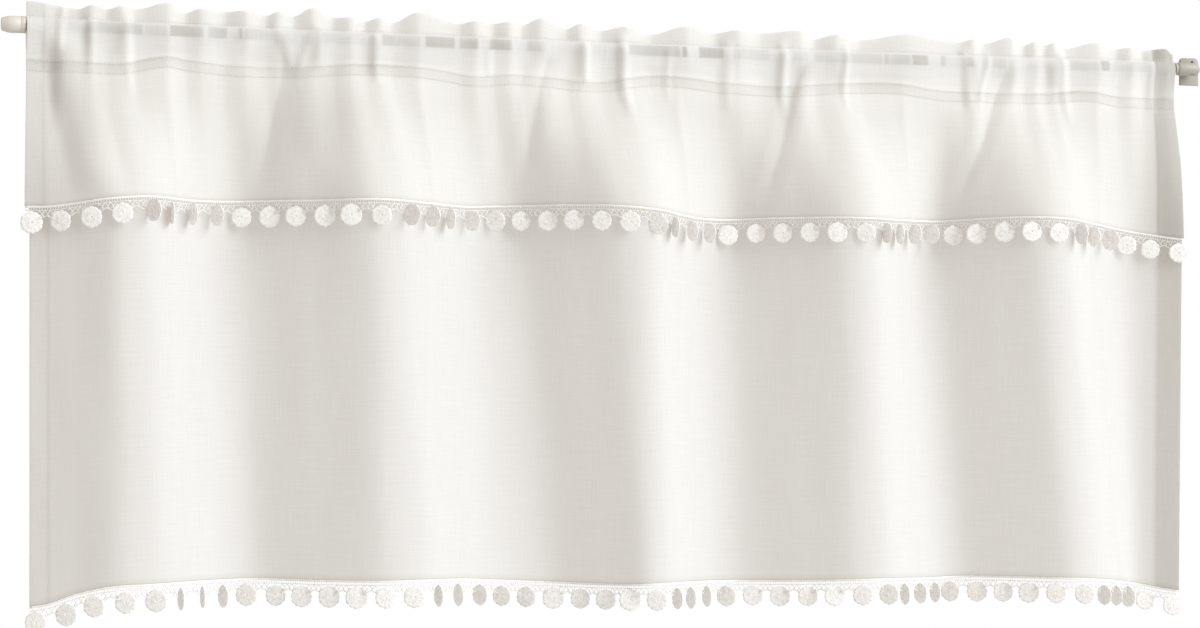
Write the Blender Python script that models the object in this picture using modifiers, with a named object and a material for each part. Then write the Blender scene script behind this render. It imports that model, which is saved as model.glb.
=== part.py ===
"""A sheer window valance with two lace trims, gathered on its curtain rod.

Sizes are in millimetres and MM turns them into metres. x runs along the rod from the left edge
of the cloth, y runs from the room to the wall, and z is the height above the rod's axis. The
origin of the world is the middle of the bracket's back face, which is screwed to the wall.
"""

import math
import random

import bmesh
import bpy
import numpy as np

MM = 0.001

# Where the rod's axis stands from the middle of the bracket's back face.
BRACKET_X = 1246.0
ROD_TO_WALL = 14.0
ROD_ABOVE_PLATE = 1.0

# The rod and its fittings.
ROD_RADIUS = 5.25
ROD_LEFT, ROD_RIGHT = -20.0, 1243.0
ROD_SAG = 3.0
BORE_RADIUS = 5.6
END_PLAY = 0.4          # between the rod's end and the bottom of the bore that holds it
CAP_PROFILE = (
    # x, radius, from the face that bears on the window's side to the mouth
    (-24.0, 6.3), (-19.0, 7.8), (-15.0, 8.3), (-3.0, 8.3), (-2.0, 7.5),
)
BARREL_PROFILE = (
    # x from the middle of the bracket, radius, from the nub at the end to the lip at the mouth
    (4.8, 4.4), (3.4, 4.4), (3.0, 5.9), (1.6, 7.1),
    (-19.4, 7.1), (-20.2, 6.3), (-21.0, 5.9), (-24.0, 6.3),
)
TURNED_STEPS = 24
PLATE_WIDTH, PLATE_HEIGHT, PLATE_THICK = 22.0, 30.0, 3.0
PLATE_CORNER = 4.5
WEB_WIDTH, WEB_HEIGHT, WEB_SUNK = 8.0, 10.0, 0.8   # what joins the barrel to the plate
WEB_X = -5.0
SCREW_HOLE_RADIUS, SCREW_HOLE_X, SCREW_HOLE_Z = 1.6, 3.5, 10.2

# The cloth.
CLOTH = 1.0             # thickness of one layer in the solids
LAYER = 1.4             # from the middle of one layer to the middle of the next
ROD_WRAP = 6.75         # from the rod's axis to the middle of the layer round it
SHOULDER = 0.72         # share of ROD_WRAP above the axis at which a layer leaves the rod
DRAWN_IN = 0.6          # how far a layer is drawn in towards the rod there, as a share
STITCH_Z = 8.5          # where the two layers close above the rod
POCKET_Z = -13.0
SEAM_Z = -30.0          # the pocket's seam, where both layers meet under the rod
SEAM_FORWARD = 1.5
SEAM_RIDGE, SEAM_VALLEY = 27.0, 33.0   # the pocket's seam below the rod, on a ridge and in a valley
POCKET_SLACK = 1.0      # how far the pocket's back layer bellies towards the wall
FLAP_BELOW_SEAM = 11.0
HEADER_SPACE = 0.9      # half the room between the header's two layers
GATHER_HEADER, GATHER_ROD, GATHER_SEAM = 4.6, 5.0, 2.6
GATHER_FULL = 22.0      # a gather this long from crest to trough, or longer, has its full depth
GATHER_LEAST = 0.5      # and the shortest ones have this share of it
COLUMN_STEP = 14.0      # widest step between two columns of the header
FOLD_TOP, FOLD_FULL = 34.0, 190.0      # where the folds begin and where they are whole, below the rod
FOLD_EASE = 0.8         # under 1 the folds open sooner below the pocket
FLOUNCE_STAND = 7.5     # how far the flounce stands in front of the panel
STAND_FULL = 0.6        # share of the flounce's drop at which it stands off so far
FLOUNCE_HEM, PANEL_HEM = 168.0, 545.0
# Places of the rows between each hem and the pocket's seam.
PANEL_SHARES = (1.0, 0.72, 0.47, 0.3, 0.17, 0.07)
FLOUNCE_SHARES = (1.0, 0.75, 0.5, 0.25, 0.0)

# Each gather of the header: where it comes forward and its top there, then where it goes back.
GATHERS = (
    # crest x, crest top, trough x, trough top
    (0, 24.0, 50, 19.0), (62, 23.0, 77, 20.0), (91, 23.5, 104, 21.5), (136, 28.5, 154, 20.0),
    (168, 24.5, 192, 23.0), (212, 24.5, 234, 21.0), (244, 25.0, 261, 22.0), (279, 30.0, 300, 22.0),
    (317, 22.5, 332, 19.5), (347, 23.5, 360, 19.5), (386, 30.5, 429, 21.5), (445, 24.5, 464, 23.0),
    (480, 25.0, 494, 22.5), (513, 30.0, 541, 20.5), (554, 26.0, 577, 20.5), (603, 25.0, 630, 18.5),
    (668, 27.5, 700, 22.5), (724, 26.0, 750, 24.5), (792, 28.0, 808, 20.0), (832, 25.0, 860, 21.0),
    (911, 28.0, 973, 22.0), (986, 25.5, 999, 21.5), (1030, 28.5, 1045, 20.5), (1058, 25.0, 1069, 21.5),
    (1080, 24.5, 1090, 18.5), (1130, 26.0, 1154, 20.5), (1169, 22.0, 1184, 19.5), (1210, 22.0, 1220, 16.5),
)

# The line of the folds: each knot's x at the flounce's hem, x at the panel's hem, and y at both.
FOLD_KNOTS = (
    (0, 7, -36), (38, 46, -47), (85, 102, -61), (114, 128, -56), (147, 173, -24), (210, 225, 9),
    (272, 281, -25), (334, 343, -61), (356, 381, -57), (402, 430, -26), (452, 492, 4), (494, 540, 8),
    (536, 576, -26), (582, 604, -57), (613, 628, -58), (658, 669, -23), (722, 730, 9), (776, 787, -30),
    (820, 831, -60), (850, 862, -60), (888, 913, -27), (954, 984, 7), (990, 1022, -30),
    (1034, 1064, -61), (1064, 1095, -60), (1102, 1138, -31), (1174, 1172, -6), (1220, 1208, -28),
)
LINE_POINTS = 900       # points of a folded line that is measured along its length

# The side edges of the panel and of the flounce at the rod and at the panel's hem.
SIDES = ((0.0, 1220.0), (7.0, 1208.0))
FLOUNCE_FLARE = (3.0, 2.5)  # how much the flounce's hem spreads past the panel, left and right

# How far the two hems hang below the rod's ends.
HANG = (
    # x, flounce's hem, panel's hem
    (0, 178.5, 559.0), (20, 178.5, 556.0), (45, 175.5, 547.0), (75, 171.0, 540.0), (115, 167.5, 537.5),
    (160, 167.5, 536.5), (220, 165.5, 536.5), (300, 166.0, 537.5), (335, 165.5, 537.5),
    (385, 166.5, 537.0), (430, 167.0, 538.0), (475, 164.5, 541.0), (570, 166.0, 545.0),
    (635, 170.5, 543.5), (668, 173.5, 544.0), (745, 172.5, 545.0), (860, 173.5, 542.0),
    (935, 170.5, 544.0), (1030, 168.5, 543.5), (1090, 171.0, 545.0), (1130, 174.5, 548.5),
    (1175, 180.0, 554.5), (1210, 186.0, 561.0), (1220, 187.0, 561.5),
)

# The lace trims: a band with round medallions that hang from it.
TRIM_THICK = 1.2
TRIM_GAP = 0.4          # between the hem's edge and the band
BAND_DEPTH = 8.5
MEDALLIONS = 49
MEDALLION_ROOT = 9.5    # how much of the band each medallion hangs from
MEDALLION = (
    # depth below the hem, width
    (11.5, 20.5), (19.5, 20.5), (25.5, 8.5),
)
MEDALLION_TWIST = math.radians(11)
FIRST_MEDALLION = 6.0   # from the side edge to the first and the last medallion


def hermite(x, xs, ys):
    """A smooth curve through the points (xs, ys), read at x."""
    xs, ys = np.asarray(xs, float), np.asarray(ys, float)
    slopes = np.gradient(ys, xs)
    x = np.clip(x, xs[0], xs[-1])
    left = np.clip(np.searchsorted(xs, x, side="right") - 1, 0, len(xs) - 2)
    step = xs[left + 1] - xs[left]
    t = (x - xs[left]) / step
    return (
        ys[left] * (2 * t**3 - 3 * t**2 + 1)
        + ys[left + 1] * (3 * t**2 - 2 * t**3)
        + slopes[left] * step * (t**3 - 2 * t**2 + t)
        + slopes[left + 1] * step * (t**3 - t**2)
    )


def smoothstep(value):
    value = np.clip(value, 0.0, 1.0)
    return value * value * (3 - 2 * value)


def arc_length(*sides):
    """The length along a line up to each of its points, from its coordinates."""
    steps = np.sqrt(sum(np.diff(side) ** 2 for side in sides))
    return np.concatenate([[0.0], np.cumsum(steps)])


def rod_height(x):
    """The rod's axis sags a little between its two ends."""
    along = (x - ROD_LEFT) / (ROD_RIGHT - ROD_LEFT)
    return -ROD_SAG * 4 * along * (1 - along)


def header_columns():
    """x, top and wave of the gathered header at each of the cloth's columns. The wave runs from -1
    on a full gather's crest to 1 in its trough."""
    turns = []
    for crest_x, crest_top, trough_x, trough_top in GATHERS:
        turns += [(crest_x, crest_top, -1.0), (trough_x, trough_top, 1.0)]
    turn_x, turn_top, turn_wave = np.array(turns, float).T
    spans = np.diff(turn_x)
    columns = [turn_x[0]]
    for start, span in zip(turn_x, spans):
        count = max(1, round(span / COLUMN_STEP))
        columns += [start + span * k / count for k in range(1, count + 1)]
    x = np.array(columns)
    left = np.clip(np.searchsorted(turn_x, x, side="right") - 1, 0, len(turns) - 2)
    ease = 0.5 - 0.5 * np.cos(math.pi * (x - turn_x[left]) / spans[left])
    top = turn_top[left] + (turn_top[left + 1] - turn_top[left]) * ease
    depth = np.interp(x, (turn_x[:-1] + turn_x[1:]) / 2, np.clip(spans / GATHER_FULL, GATHER_LEAST, 1.0))
    return x, top, turn_wave[left] * (1 - 2 * ease) * depth


HEADER_X, HEADER_TOP, WAVE = header_columns()
# How far along the cut cloth each column lies, from 0 to 1, measured along the header.
ALONG_HEADER = arc_length(HEADER_X, GATHER_HEADER * WAVE)
CUT_SHARE = ALONG_HEADER / ALONG_HEADER[-1]


def fold_line(x, level):
    """y of the folded cloth at x. level is 0 at the flounce's hem and 1 at the panel's."""
    at_flounce, at_hem, y = np.array(FOLD_KNOTS, float).T
    return hermite(x, at_flounce + (at_hem - at_flounce) * level, y)


def folded(z):
    """x and y of each column where the cloth hangs in its main folds alone, at height z."""
    level = np.clip((-z - FLOUNCE_HEM) / (PANEL_HEM - FLOUNCE_HEM), 0.0, 1.0)
    share = np.clip(-z / PANEL_HEM, 0.0, 1.0)
    left, right = (SIDES[0][k] + (SIDES[1][k] - SIDES[0][k]) * share for k in (0, 1))
    x = np.linspace(left, right, LINE_POINTS)
    y = fold_line(x, level)
    run = arc_length(x, y)
    return np.interp(CUT_SHARE * run[-1], run, x), np.interp(CUT_SHARE * run[-1], run, y)


def plan(z):
    """x and y of the panel's front layer at each column, at height z. The header's gathers go
    round the rod, close again at the pocket's seam and give way to the main folds below it."""
    header = GATHER_HEADER * WAVE - HEADER_SPACE
    at_rod = -ROD_WRAP - GATHER_ROD * (1 - WAVE) / 2
    at_seam = GATHER_SEAM * WAVE - LAYER / 2 - SEAM_FORWARD
    up = smoothstep(z / STITCH_Z)
    down = smoothstep(z / SEAM_Z)
    gathered = at_rod * (1 - up) * (1 - down) + header * up + at_seam * down
    x_fold, y_fold = folded(z)
    weight = smoothstep((-z - FOLD_TOP) / (FOLD_FULL - FOLD_TOP)) ** FOLD_EASE
    return HEADER_X * (1 - weight) + x_fold * weight, gathered * (1 - weight) + y_fold * weight


def shifted(x, y, by):
    """The line x, y moved by so much towards the room, square to itself."""
    dx, dy = np.gradient(x), np.gradient(y)
    length = np.hypot(dx, dy)
    return x + by * dy / length, y - by * dx / length


def over_rod(y):
    """The front layer's y where it bends in over the rod, from its y beside the rod's axis."""
    return y - (y + ROD_WRAP * SHOULDER) * DRAWN_IN


def seam_height():
    """The pocket's seam hangs lower where the folds go back to the wall."""
    y = fold_line(HEADER_X, 0.0)
    ridge = (y.max() - y) / (y.max() - y.min())
    return rod_height(HEADER_X) - SEAM_VALLEY + (SEAM_VALLEY - SEAM_RIDGE) * ridge


def row(x, y, z):
    return np.stack([x, y, np.broadcast_to(z, x.shape)], axis=-1)


def lower_rows(hem, hem_column, shares, offset):
    """Rows from the pocket's seam down to a hem. hem is its mean drop, hem_column picks its own in
    HANG, shares are the rows' places between the seam and the hem, and offset moves each towards
    the room."""
    table = np.array(HANG)
    seam = seam_height()
    rows = []
    for share, by in zip(shares, offset):
        x, y = shifted(*plan(SEAM_Z - (hem + SEAM_Z) * share), by)
        z = seam + (-hermite(x, table[:, 0], table[:, hem_column]) - seam) * share
        rows.append(row(x, y, z))
    return rows


def panel_rows():
    """The panel from its hem up the front of the rod, over the header and down behind the rod."""
    sag, seam = rod_height(HEADER_X), seam_height()
    top = HEADER_TOP + sag
    front = lower_rows(PANEL_HEM, 2, PANEL_SHARES, [0.0] * len(PANEL_SHARES))
    x, y = plan(SEAM_Z)
    front.append(row(x, y, seam))
    for z in (POCKET_Z, 0.0):
        x, y = plan(z)
        front.append(row(x, y, z + sag))
    x, y_header = plan(STITCH_Z)
    front.append(row(x, over_rod(plan(0.0)[1]), ROD_WRAP * SHOULDER + sag))
    front.append(row(x, y_header, STITCH_Z + sag))
    front.append(row(x, y_header, top - HEADER_SPACE))
    y_back = y_header + 2 * HEADER_SPACE
    back_rod = ROD_WRAP + GATHER_ROD * (1 + WAVE) / 2
    back_seam = plan(SEAM_Z)[1] + LAYER
    back = [
        row(x, y_back, top - HEADER_SPACE),
        row(x, y_back, STITCH_Z + sag),
        row(x, -over_rod(-back_rod), ROD_WRAP * SHOULDER + sag),
        row(x, back_rod, sag),
        row(x, (back_rod + back_seam) / 2 + POCKET_SLACK, POCKET_Z + sag),
        row(x, back_seam, seam),
    ]
    x, y = shifted(*plan(SEAM_Z - FLAP_BELOW_SEAM), -LAYER)
    back.append(row(x, y, seam - FLAP_BELOW_SEAM))
    return np.array([*front, *back])


def flounce_rows():
    """The flounce from its hem up to the top of the header, in front of the panel."""
    sag = rod_height(HEADER_X)
    stand = [LAYER + (FLOUNCE_STAND - LAYER) * smoothstep(share / STAND_FULL) for share in FLOUNCE_SHARES]
    rows = lower_rows(FLOUNCE_HEM, 1, FLOUNCE_SHARES, stand)
    spread = np.linspace(-FLOUNCE_FLARE[0], FLOUNCE_FLARE[1], len(HEADER_X))
    for share, points in zip(FLOUNCE_SHARES, rows):
        points[:, 0] += spread * share
    for z in (POCKET_Z, 0.0):
        x, y = shifted(*plan(z), LAYER)
        rows.append(row(x, y, z + sag))
    x, y = shifted(HEADER_X, over_rod(plan(0.0)[1]), LAYER)
    rows.append(row(x, y, (ROD_WRAP + LAYER) * SHOULDER + sag))
    x, y = shifted(*plan(STITCH_Z), LAYER)
    rows.append(row(x, y, STITCH_Z + LAYER / 3 + sag))
    rows.append(row(x, y, HEADER_TOP + sag - LAYER))
    return np.array(rows)


def new_material(name, colour, roughness, metallic=0.0):
    material = bpy.data.materials.new(name)
    material.use_nodes = True
    shader = material.node_tree.nodes["Principled BSDF"]
    shader.inputs["Base Color"].default_value = (*colour, 1.0)
    shader.inputs["Roughness"].default_value = roughness
    shader.inputs["Metallic"].default_value = metallic
    return material


def place(name, data, material):
    """A new object in the valance's collection, hung from the empty on the rod's axis."""
    piece = bpy.data.objects.new(name, data)
    data.materials.append(material)
    valance.objects.link(piece)
    piece.parent = rod_axis
    return piece


def grid_mesh(rows):
    """A bmesh grid whose vertices lie at rows, an array of rows, columns and x, y, z in mm. It
    comes with the vertices by row and column."""
    last_row, last_column = rows.shape[0] - 1, rows.shape[1] - 1
    bm = bmesh.new()
    bmesh.ops.create_grid(bm, x_segments=last_column, y_segments=last_row, size=1.0)
    vertices = {}
    for vertex in bm.verts:
        line = round((vertex.co.y + 1) / 2 * last_row)
        column = round((vertex.co.x + 1) / 2 * last_column)
        vertex.co = rows[line, column] * MM
        vertices[line, column] = vertex
    return bm, vertices


def add_sheet(name, bm, thickness, material):
    """An open surface made a closed sheet of one thickness."""
    mesh = bpy.data.meshes.new(name)
    bm.to_mesh(mesh)
    bm.free()
    mesh.shade_smooth()
    piece = place(name, mesh, material)
    solidify = piece.modifiers.new("Thickness", "SOLIDIFY")
    solidify.thickness = thickness * MM
    solidify.offset = 0.0
    return piece


def add_medallion(bm, start, end, middle, across):
    """A medallion drawn down out of the band's lower edge, which runs there from the vertex start
    to end. middle is the point of the hem above it, and across the way that it faces sideways."""
    for depth, width in MEDALLION:
        made = bmesh.ops.extrude_edge_only(bm, edges=[bm.edges.get((start, end))])["geom"]
        corners = [item for item in made if isinstance(item, bmesh.types.BMVert)]
        start, end = sorted(corners, key=lambda corner: (corner.co - start.co).length)
        for corner, side in ((start, -0.5), (end, 0.5)):
            corner.co = (middle + across * width * side - np.array([0.0, 0.0, depth])) * MM


def add_trim(name, hem, seed, material):
    """A lace band under a hem, with medallions an even way apart along it, each turned a little."""
    turn = random.Random(seed)
    run = arc_length(*hem.T)
    middles = np.linspace(FIRST_MEDALLION, run[-1] - FIRST_MEDALLION, MEDALLIONS)
    half_root = MEDALLION_ROOT / 2
    stations = []
    for middle in middles:
        stations += [middle - half_root, middle + half_root, middle + (middles[1] - middles[0]) / 2]
    line = np.stack([np.interp(stations[:-1], run, side) for side in hem.T], axis=-1)
    down = np.array([0.0, 0.0, 1.0])
    bm, vertices = grid_mesh(np.array([line - down * BAND_DEPTH, line - down * TRIM_GAP]))
    for k in range(0, len(line), 3):
        angle = turn.uniform(-MEDALLION_TWIST, MEDALLION_TWIST)
        facing = math.atan2(*(line[k + 1] - line[k])[1::-1]) + angle
        across = np.array([math.cos(facing), math.sin(facing), 0.0])
        add_medallion(bm, vertices[0, k], vertices[0, k + 1], (line[k] + line[k + 1]) / 2, across)
    bmesh.ops.recalc_face_normals(bm, faces=bm.faces)
    return add_sheet(name, bm, TRIM_THICK, material)


def add_turned(name, profile, bore_end, material):
    """A piece turned round the rod's axis, with a blind bore for the rod's end. The profile is a
    list of (x, radius) from its closed end to its mouth, and bore_end the x of the bore's bottom."""
    outline = [(profile[0][0], 0.0), *profile, (profile[-1][0], BORE_RADIUS), (bore_end, BORE_RADIUS),
               (bore_end, 0.0)]
    if profile[0][0] < profile[-1][0]:
        outline.reverse()
    mesh = bpy.data.meshes.new(name)
    points = [(x * MM, 0.0, radius * MM) for x, radius in outline]
    mesh.from_pydata(points, [(k, k + 1) for k in range(len(points) - 1)], [])
    piece = place(name, mesh, material)
    screw = piece.modifiers.new("Turned", "SCREW")
    screw.axis = "X"
    screw.steps = screw.render_steps = TURNED_STEPS
    screw.use_merge_vertices = True
    screw.merge_threshold = 0.0001
    screw.use_smooth_shade = True
    return piece


def add_rod(material):
    """The rod, a plain tube seen from outside, on its sagging axis."""
    curve = bpy.data.curves.new("rod", "CURVE")
    curve.dimensions = "3D"
    spline = curve.splines.new("POLY")
    stations = np.linspace(ROD_LEFT, ROD_RIGHT, 9)
    spline.points.add(len(stations) - 1)
    for point, x in zip(spline.points, stations):
        point.co = (x * MM, 0.0, rod_height(x) * MM, 1.0)
    curve.bevel_depth = ROD_RADIUS * MM
    curve.bevel_resolution = 3
    curve.use_fill_caps = True
    return place("rod", curve, material)


def plate_corners():
    """The plate's outline in x and z: round at its top corners and square at its foot."""
    half_width, half_height = PLATE_WIDTH / 2, PLATE_HEIGHT / 2
    corners = []
    for side, first_angle in ((1, 0), (-1, 90)):
        for step in range(4):
            angle = math.radians(first_angle + 30 * step)
            corners.append((
                side * (half_width - PLATE_CORNER) + PLATE_CORNER * math.cos(angle),
                half_height - PLATE_CORNER + PLATE_CORNER * math.sin(angle),
            ))
    return [*corners, (-half_width, -half_height), (half_width, -half_height)]


def add_plate():
    """The bracket's flat plate, a 2D outline with thickness."""
    plate = bpy.data.curves.new("plate_outline", "CURVE")
    plate.dimensions = "2D"
    plate.fill_mode = "BOTH"
    plate.extrude = PLATE_THICK / 2 * MM
    corners = plate_corners()
    spline = plate.splines.new("POLY")
    spline.points.add(len(corners) - 1)
    for point, (x, z) in zip(spline.points, corners):
        point.co = (x * MM, z * MM, 0.0, 1.0)
    spline.use_cyclic_u = True
    outline = bpy.data.objects.new("plate_outline", plate)
    cutters.objects.link(outline)
    outline.rotation_euler = (math.pi / 2, 0.0, 0.0)
    outline.location = (0.0, -PLATE_THICK / 2 * MM, 0.0)
    bpy.context.view_layer.update()
    evaluated = outline.evaluated_get(bpy.context.evaluated_depsgraph_get())
    mesh = bpy.data.meshes.new_from_object(evaluated)
    bm = bmesh.new()
    bm.from_mesh(mesh)
    bmesh.ops.remove_doubles(bm, verts=bm.verts, dist=1e-6)
    bm.to_mesh(mesh)
    bm.free()
    piece = bpy.data.objects.new("plate", mesh)
    piece.matrix_world = outline.matrix_world.copy()
    bpy.data.objects.remove(outline)
    return add_helper(piece)


def add_helper(piece):
    """A shape that another piece is cut or joined with."""
    cutters.objects.link(piece)
    piece.hide_render = True
    piece.display_type = "WIRE"
    return piece


def add_web():
    """The short arm between the plate and the barrel."""
    back, front = -PLATE_THICK + WEB_SUNK, -ROD_TO_WALL + BORE_RADIUS + WEB_SUNK
    bm = bmesh.new()
    bmesh.ops.create_cube(bm, size=1.0)
    bmesh.ops.scale(bm, verts=bm.verts, vec=(WEB_WIDTH * MM, (back - front) * MM, WEB_HEIGHT * MM))
    mesh = bpy.data.meshes.new("web")
    bm.to_mesh(mesh)
    bm.free()
    web = bpy.data.objects.new("web", mesh)
    web.location = (WEB_X * MM, (back + front) / 2 * MM, ROD_ABOVE_PLATE * MM)
    return add_helper(web)


def add_screw_hole():
    """The cutter for the screw hole near the plate's top."""
    bm = bmesh.new()
    bmesh.ops.create_cone(bm, cap_ends=True, segments=16, radius1=SCREW_HOLE_RADIUS * MM,
                          radius2=SCREW_HOLE_RADIUS * MM, depth=PLATE_THICK * 3 * MM)
    mesh = bpy.data.meshes.new("screw_hole")
    bm.to_mesh(mesh)
    bm.free()
    hole = bpy.data.objects.new("screw_hole", mesh)
    hole.rotation_euler = (math.pi / 2, 0.0, 0.0)
    hole.location = (SCREW_HOLE_X * MM, -PLATE_THICK / 2 * MM, SCREW_HOLE_Z * MM)
    return add_helper(hole)


def add_bracket(material):
    """The right bracket: a barrel over the rod's end, on a plate that is screwed to the wall."""
    profile = [(BRACKET_X + x, radius) for x, radius in BARREL_PROFILE]
    bracket = add_turned("bracket", profile, ROD_RIGHT + END_PLAY, material)
    for other, operation in ((add_plate(), "UNION"), (add_web(), "UNION"), (add_screw_hole(), "DIFFERENCE")):
        boolean = bracket.modifiers.new(other.name, "BOOLEAN")
        boolean.operation = operation
        boolean.object = other
    return bracket


for old in list(bpy.data.objects):
    bpy.data.objects.remove(old)
valance = bpy.data.collections.new("window valance")
cutters = bpy.data.collections.new("cutters")
bpy.context.scene.collection.children.link(valance)
bpy.context.scene.collection.children.link(cutters)
rod_axis = bpy.data.objects.new("rod_axis", None)
rod_axis.location = (-BRACKET_X * MM, -ROD_TO_WALL * MM, ROD_ABOVE_PLATE * MM)
valance.objects.link(rod_axis)

voile = new_material("off-white voile", (0.86, 0.84, 0.81), 0.9)
lace = new_material("off-white cotton lace", (0.84, 0.82, 0.78), 0.85)
enamel = new_material("grey-beige enamelled steel", (0.56, 0.53, 0.48), 0.45)
moulded = new_material("grey-beige moulded plastic", (0.62, 0.58, 0.54), 0.5)

panel = panel_rows()
flounce = flounce_rows()
add_sheet("panel", grid_mesh(panel)[0], CLOTH, voile)
add_sheet("flounce", grid_mesh(flounce)[0], CLOTH, voile)
add_trim("panel_trim", panel[0], 3, lace)
add_trim("flounce_trim", flounce[0], 8, lace)
add_rod(enamel)
add_turned("end_cap", CAP_PROFILE, ROD_LEFT - END_PLAY, moulded)
add_bracket(moulded)
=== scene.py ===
# %% [markdown]
# # A sheer window valance on its curtain rod
# A valance is the short curtain that dresses the top of a window. This one is off-white voile: a short
# flounce hangs in front of a longer panel, both are gathered on a thin rod, and each hem carries a lace
# band with crocheted medallions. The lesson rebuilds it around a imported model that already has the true
# sizes, so every piece here is made in the same frame and simply takes the place of its plain solid.

import math
import random

import bmesh
import bpy
import numpy as np
from mathutils import Matrix, Vector


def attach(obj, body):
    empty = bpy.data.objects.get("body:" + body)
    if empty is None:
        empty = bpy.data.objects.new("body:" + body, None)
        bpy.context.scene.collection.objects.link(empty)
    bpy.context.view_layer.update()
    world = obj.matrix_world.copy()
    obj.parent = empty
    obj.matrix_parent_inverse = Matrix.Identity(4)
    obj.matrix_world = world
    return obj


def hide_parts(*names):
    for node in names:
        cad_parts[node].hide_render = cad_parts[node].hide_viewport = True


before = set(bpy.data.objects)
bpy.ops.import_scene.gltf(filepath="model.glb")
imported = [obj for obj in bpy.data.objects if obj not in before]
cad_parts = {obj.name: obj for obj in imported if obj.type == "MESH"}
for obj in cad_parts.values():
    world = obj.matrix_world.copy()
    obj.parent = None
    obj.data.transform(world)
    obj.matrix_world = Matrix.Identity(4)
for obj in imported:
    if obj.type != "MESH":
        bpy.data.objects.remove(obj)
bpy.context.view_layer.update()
print("solids loaded:", ", ".join(sorted(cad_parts)))

# %% [markdown]
# ## Sizes
# Sewing is measured in millimetres and Blender in metres. All pieces below are worked out in
# millimetres from one handy corner: x runs along the rod from the cloth's left edge, y from the room to
# the wall, z up from the rod's axis. One function turns such points into the model's own frame, whose
# origin is the middle of the bracket's back.

# %% Millimetres to the model's frame
MM = 0.001
ROD_ORIGIN = np.array([-1246.0, -14.0, 1.0])


def in_frame(points):
    """Points in mm from the rod's left end, as metres in the model's frame."""
    return (np.asarray(points, float) + ROD_ORIGIN) * MM


print("the cloth's left edge is at x =", round(float(in_frame([0, 0, 0])[0]), 3), "m")

# %% [markdown]
# ## Camera
# The photograph was taken from the left and a little below, with a long lens, so the valance narrows
# only slightly towards its right end.

# %% Place the camera
CAMERA_PLACE = (-1.4767, -2.8480, -0.3970)      # metres
CAMERA_TURN = (92.4287, 0.0, -15.896)           # degrees
CAMERA_LENS, CAMERA_SENSOR = 87.0, 36.0         # mm
FARTHEST = 50.0                                 # metres

scene = bpy.context.scene
camera_data = bpy.data.cameras.new("camera")
camera_data.lens = CAMERA_LENS
camera_data.sensor_width = CAMERA_SENSOR
camera_data.clip_end = FARTHEST
camera = bpy.data.objects.new("camera", camera_data)
camera.location = CAMERA_PLACE
camera.rotation_euler = [math.radians(angle) for angle in CAMERA_TURN]
scene.collection.objects.link(camera)
scene.camera = camera
print("camera with a lens of", camera_data.lens, "mm")

# %% [markdown]
# ## Studio
# Sheer cloth shows best against white. The camera sees a plain white room. Through the open weave it
# sees a light grey wall instead, or the folds would fade into the white. The same room sends an even,
# slightly warm light from all sides, so one layer of cloth and two are equally bright. A large, slightly
# cool key light to the upper right models the folds: it reaches the sides that face right and leaves
# the others in flat shade. It stands 14 m away, because a near light would make one end of the rod
# brighter than the other. A pale floor lies below the frame.

# %% Add one node


def add_node(tree, kind, inputs=None, **settings):
    """Add one node with its settings. Each input is given a value, or another node's output to link."""
    node = tree.nodes.new(kind)
    for name, value in settings.items():
        setattr(node, name, value)
    for name, value in (inputs or {}).items():
        if isinstance(value, bpy.types.NodeSocket):
            tree.links.new(value, node.inputs[name])
        else:
            node.inputs[name].default_value = value
    return node


# %% White room
WHITE_ROOM = 1.0                # what the camera sees beside the cloth
WALL = 0.52                     # what it sees through the weave
FILL = 0.67                     # how strongly the room lights the cloth
FILL_COLOUR = (1.0, 0.93, 0.87)

room = bpy.data.worlds.new("white room")
scene.world = room
room.use_nodes = True
room.node_tree.nodes.clear()
white = add_node(room.node_tree, "ShaderNodeBackground", {"Strength": WHITE_ROOM, "Color": (1, 1, 1, 1)})
wall = add_node(room.node_tree, "ShaderNodeBackground", {"Strength": WALL, "Color": (*FILL_COLOUR, 1)})
fill = add_node(room.node_tree, "ShaderNodeBackground", {"Strength": FILL, "Color": (*FILL_COLOUR, 1)})
path = add_node(room.node_tree, "ShaderNodeLightPath")
through = add_node(room.node_tree, "ShaderNodeMath", {
    0: path.outputs["Transparent Depth"], 1: 0.5}, operation="GREATER_THAN")
seen = add_node(room.node_tree, "ShaderNodeMixShader", {
    0: through.outputs[0], 1: white.outputs[0], 2: wall.outputs[0]})
mixed = add_node(room.node_tree, "ShaderNodeMixShader", {
    0: path.outputs["Is Camera Ray"], 1: fill.outputs[0], 2: seen.outputs[0]})
add_node(room.node_tree, "ShaderNodeOutputWorld", {"Surface": mixed.outputs[0]})
scene.view_settings.view_transform = "Standard"
print("world:", room.name)

# %% Key light
CLOTH_MIDDLE = Vector((-0.62, -0.02, -0.27))
KEY_FROM = Vector((0.74, -0.59, 0.50))
KEY_DISTANCE, KEY_SIZE = 14.0, 11.5             # metres
KEY_WATTS = 2340.0
KEY_COLOUR = (0.87, 0.945, 1.0)


def soft_panel(name, place, size, watts, colour):
    """A square soft light that looks at the middle of the cloth and stays out of the picture."""
    light = bpy.data.lights.new(name, "AREA")
    light.size = size
    light.energy = watts
    light.color = colour
    panel = bpy.data.objects.new(name, light)
    panel.location = place
    panel.rotation_euler = (CLOTH_MIDDLE - place).to_track_quat("-Z", "Y").to_euler()
    panel.visible_camera = False
    scene.collection.objects.link(panel)
    return panel


key_place = CLOTH_MIDDLE + KEY_FROM.normalized() * KEY_DISTANCE
soft_panel("key light", key_place, KEY_SIZE, KEY_WATTS, KEY_COLOUR)

# %% Pale floor
FLOOR_DEPTH, FLOOR_RADIUS = -1.0, 4.5           # metres

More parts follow.
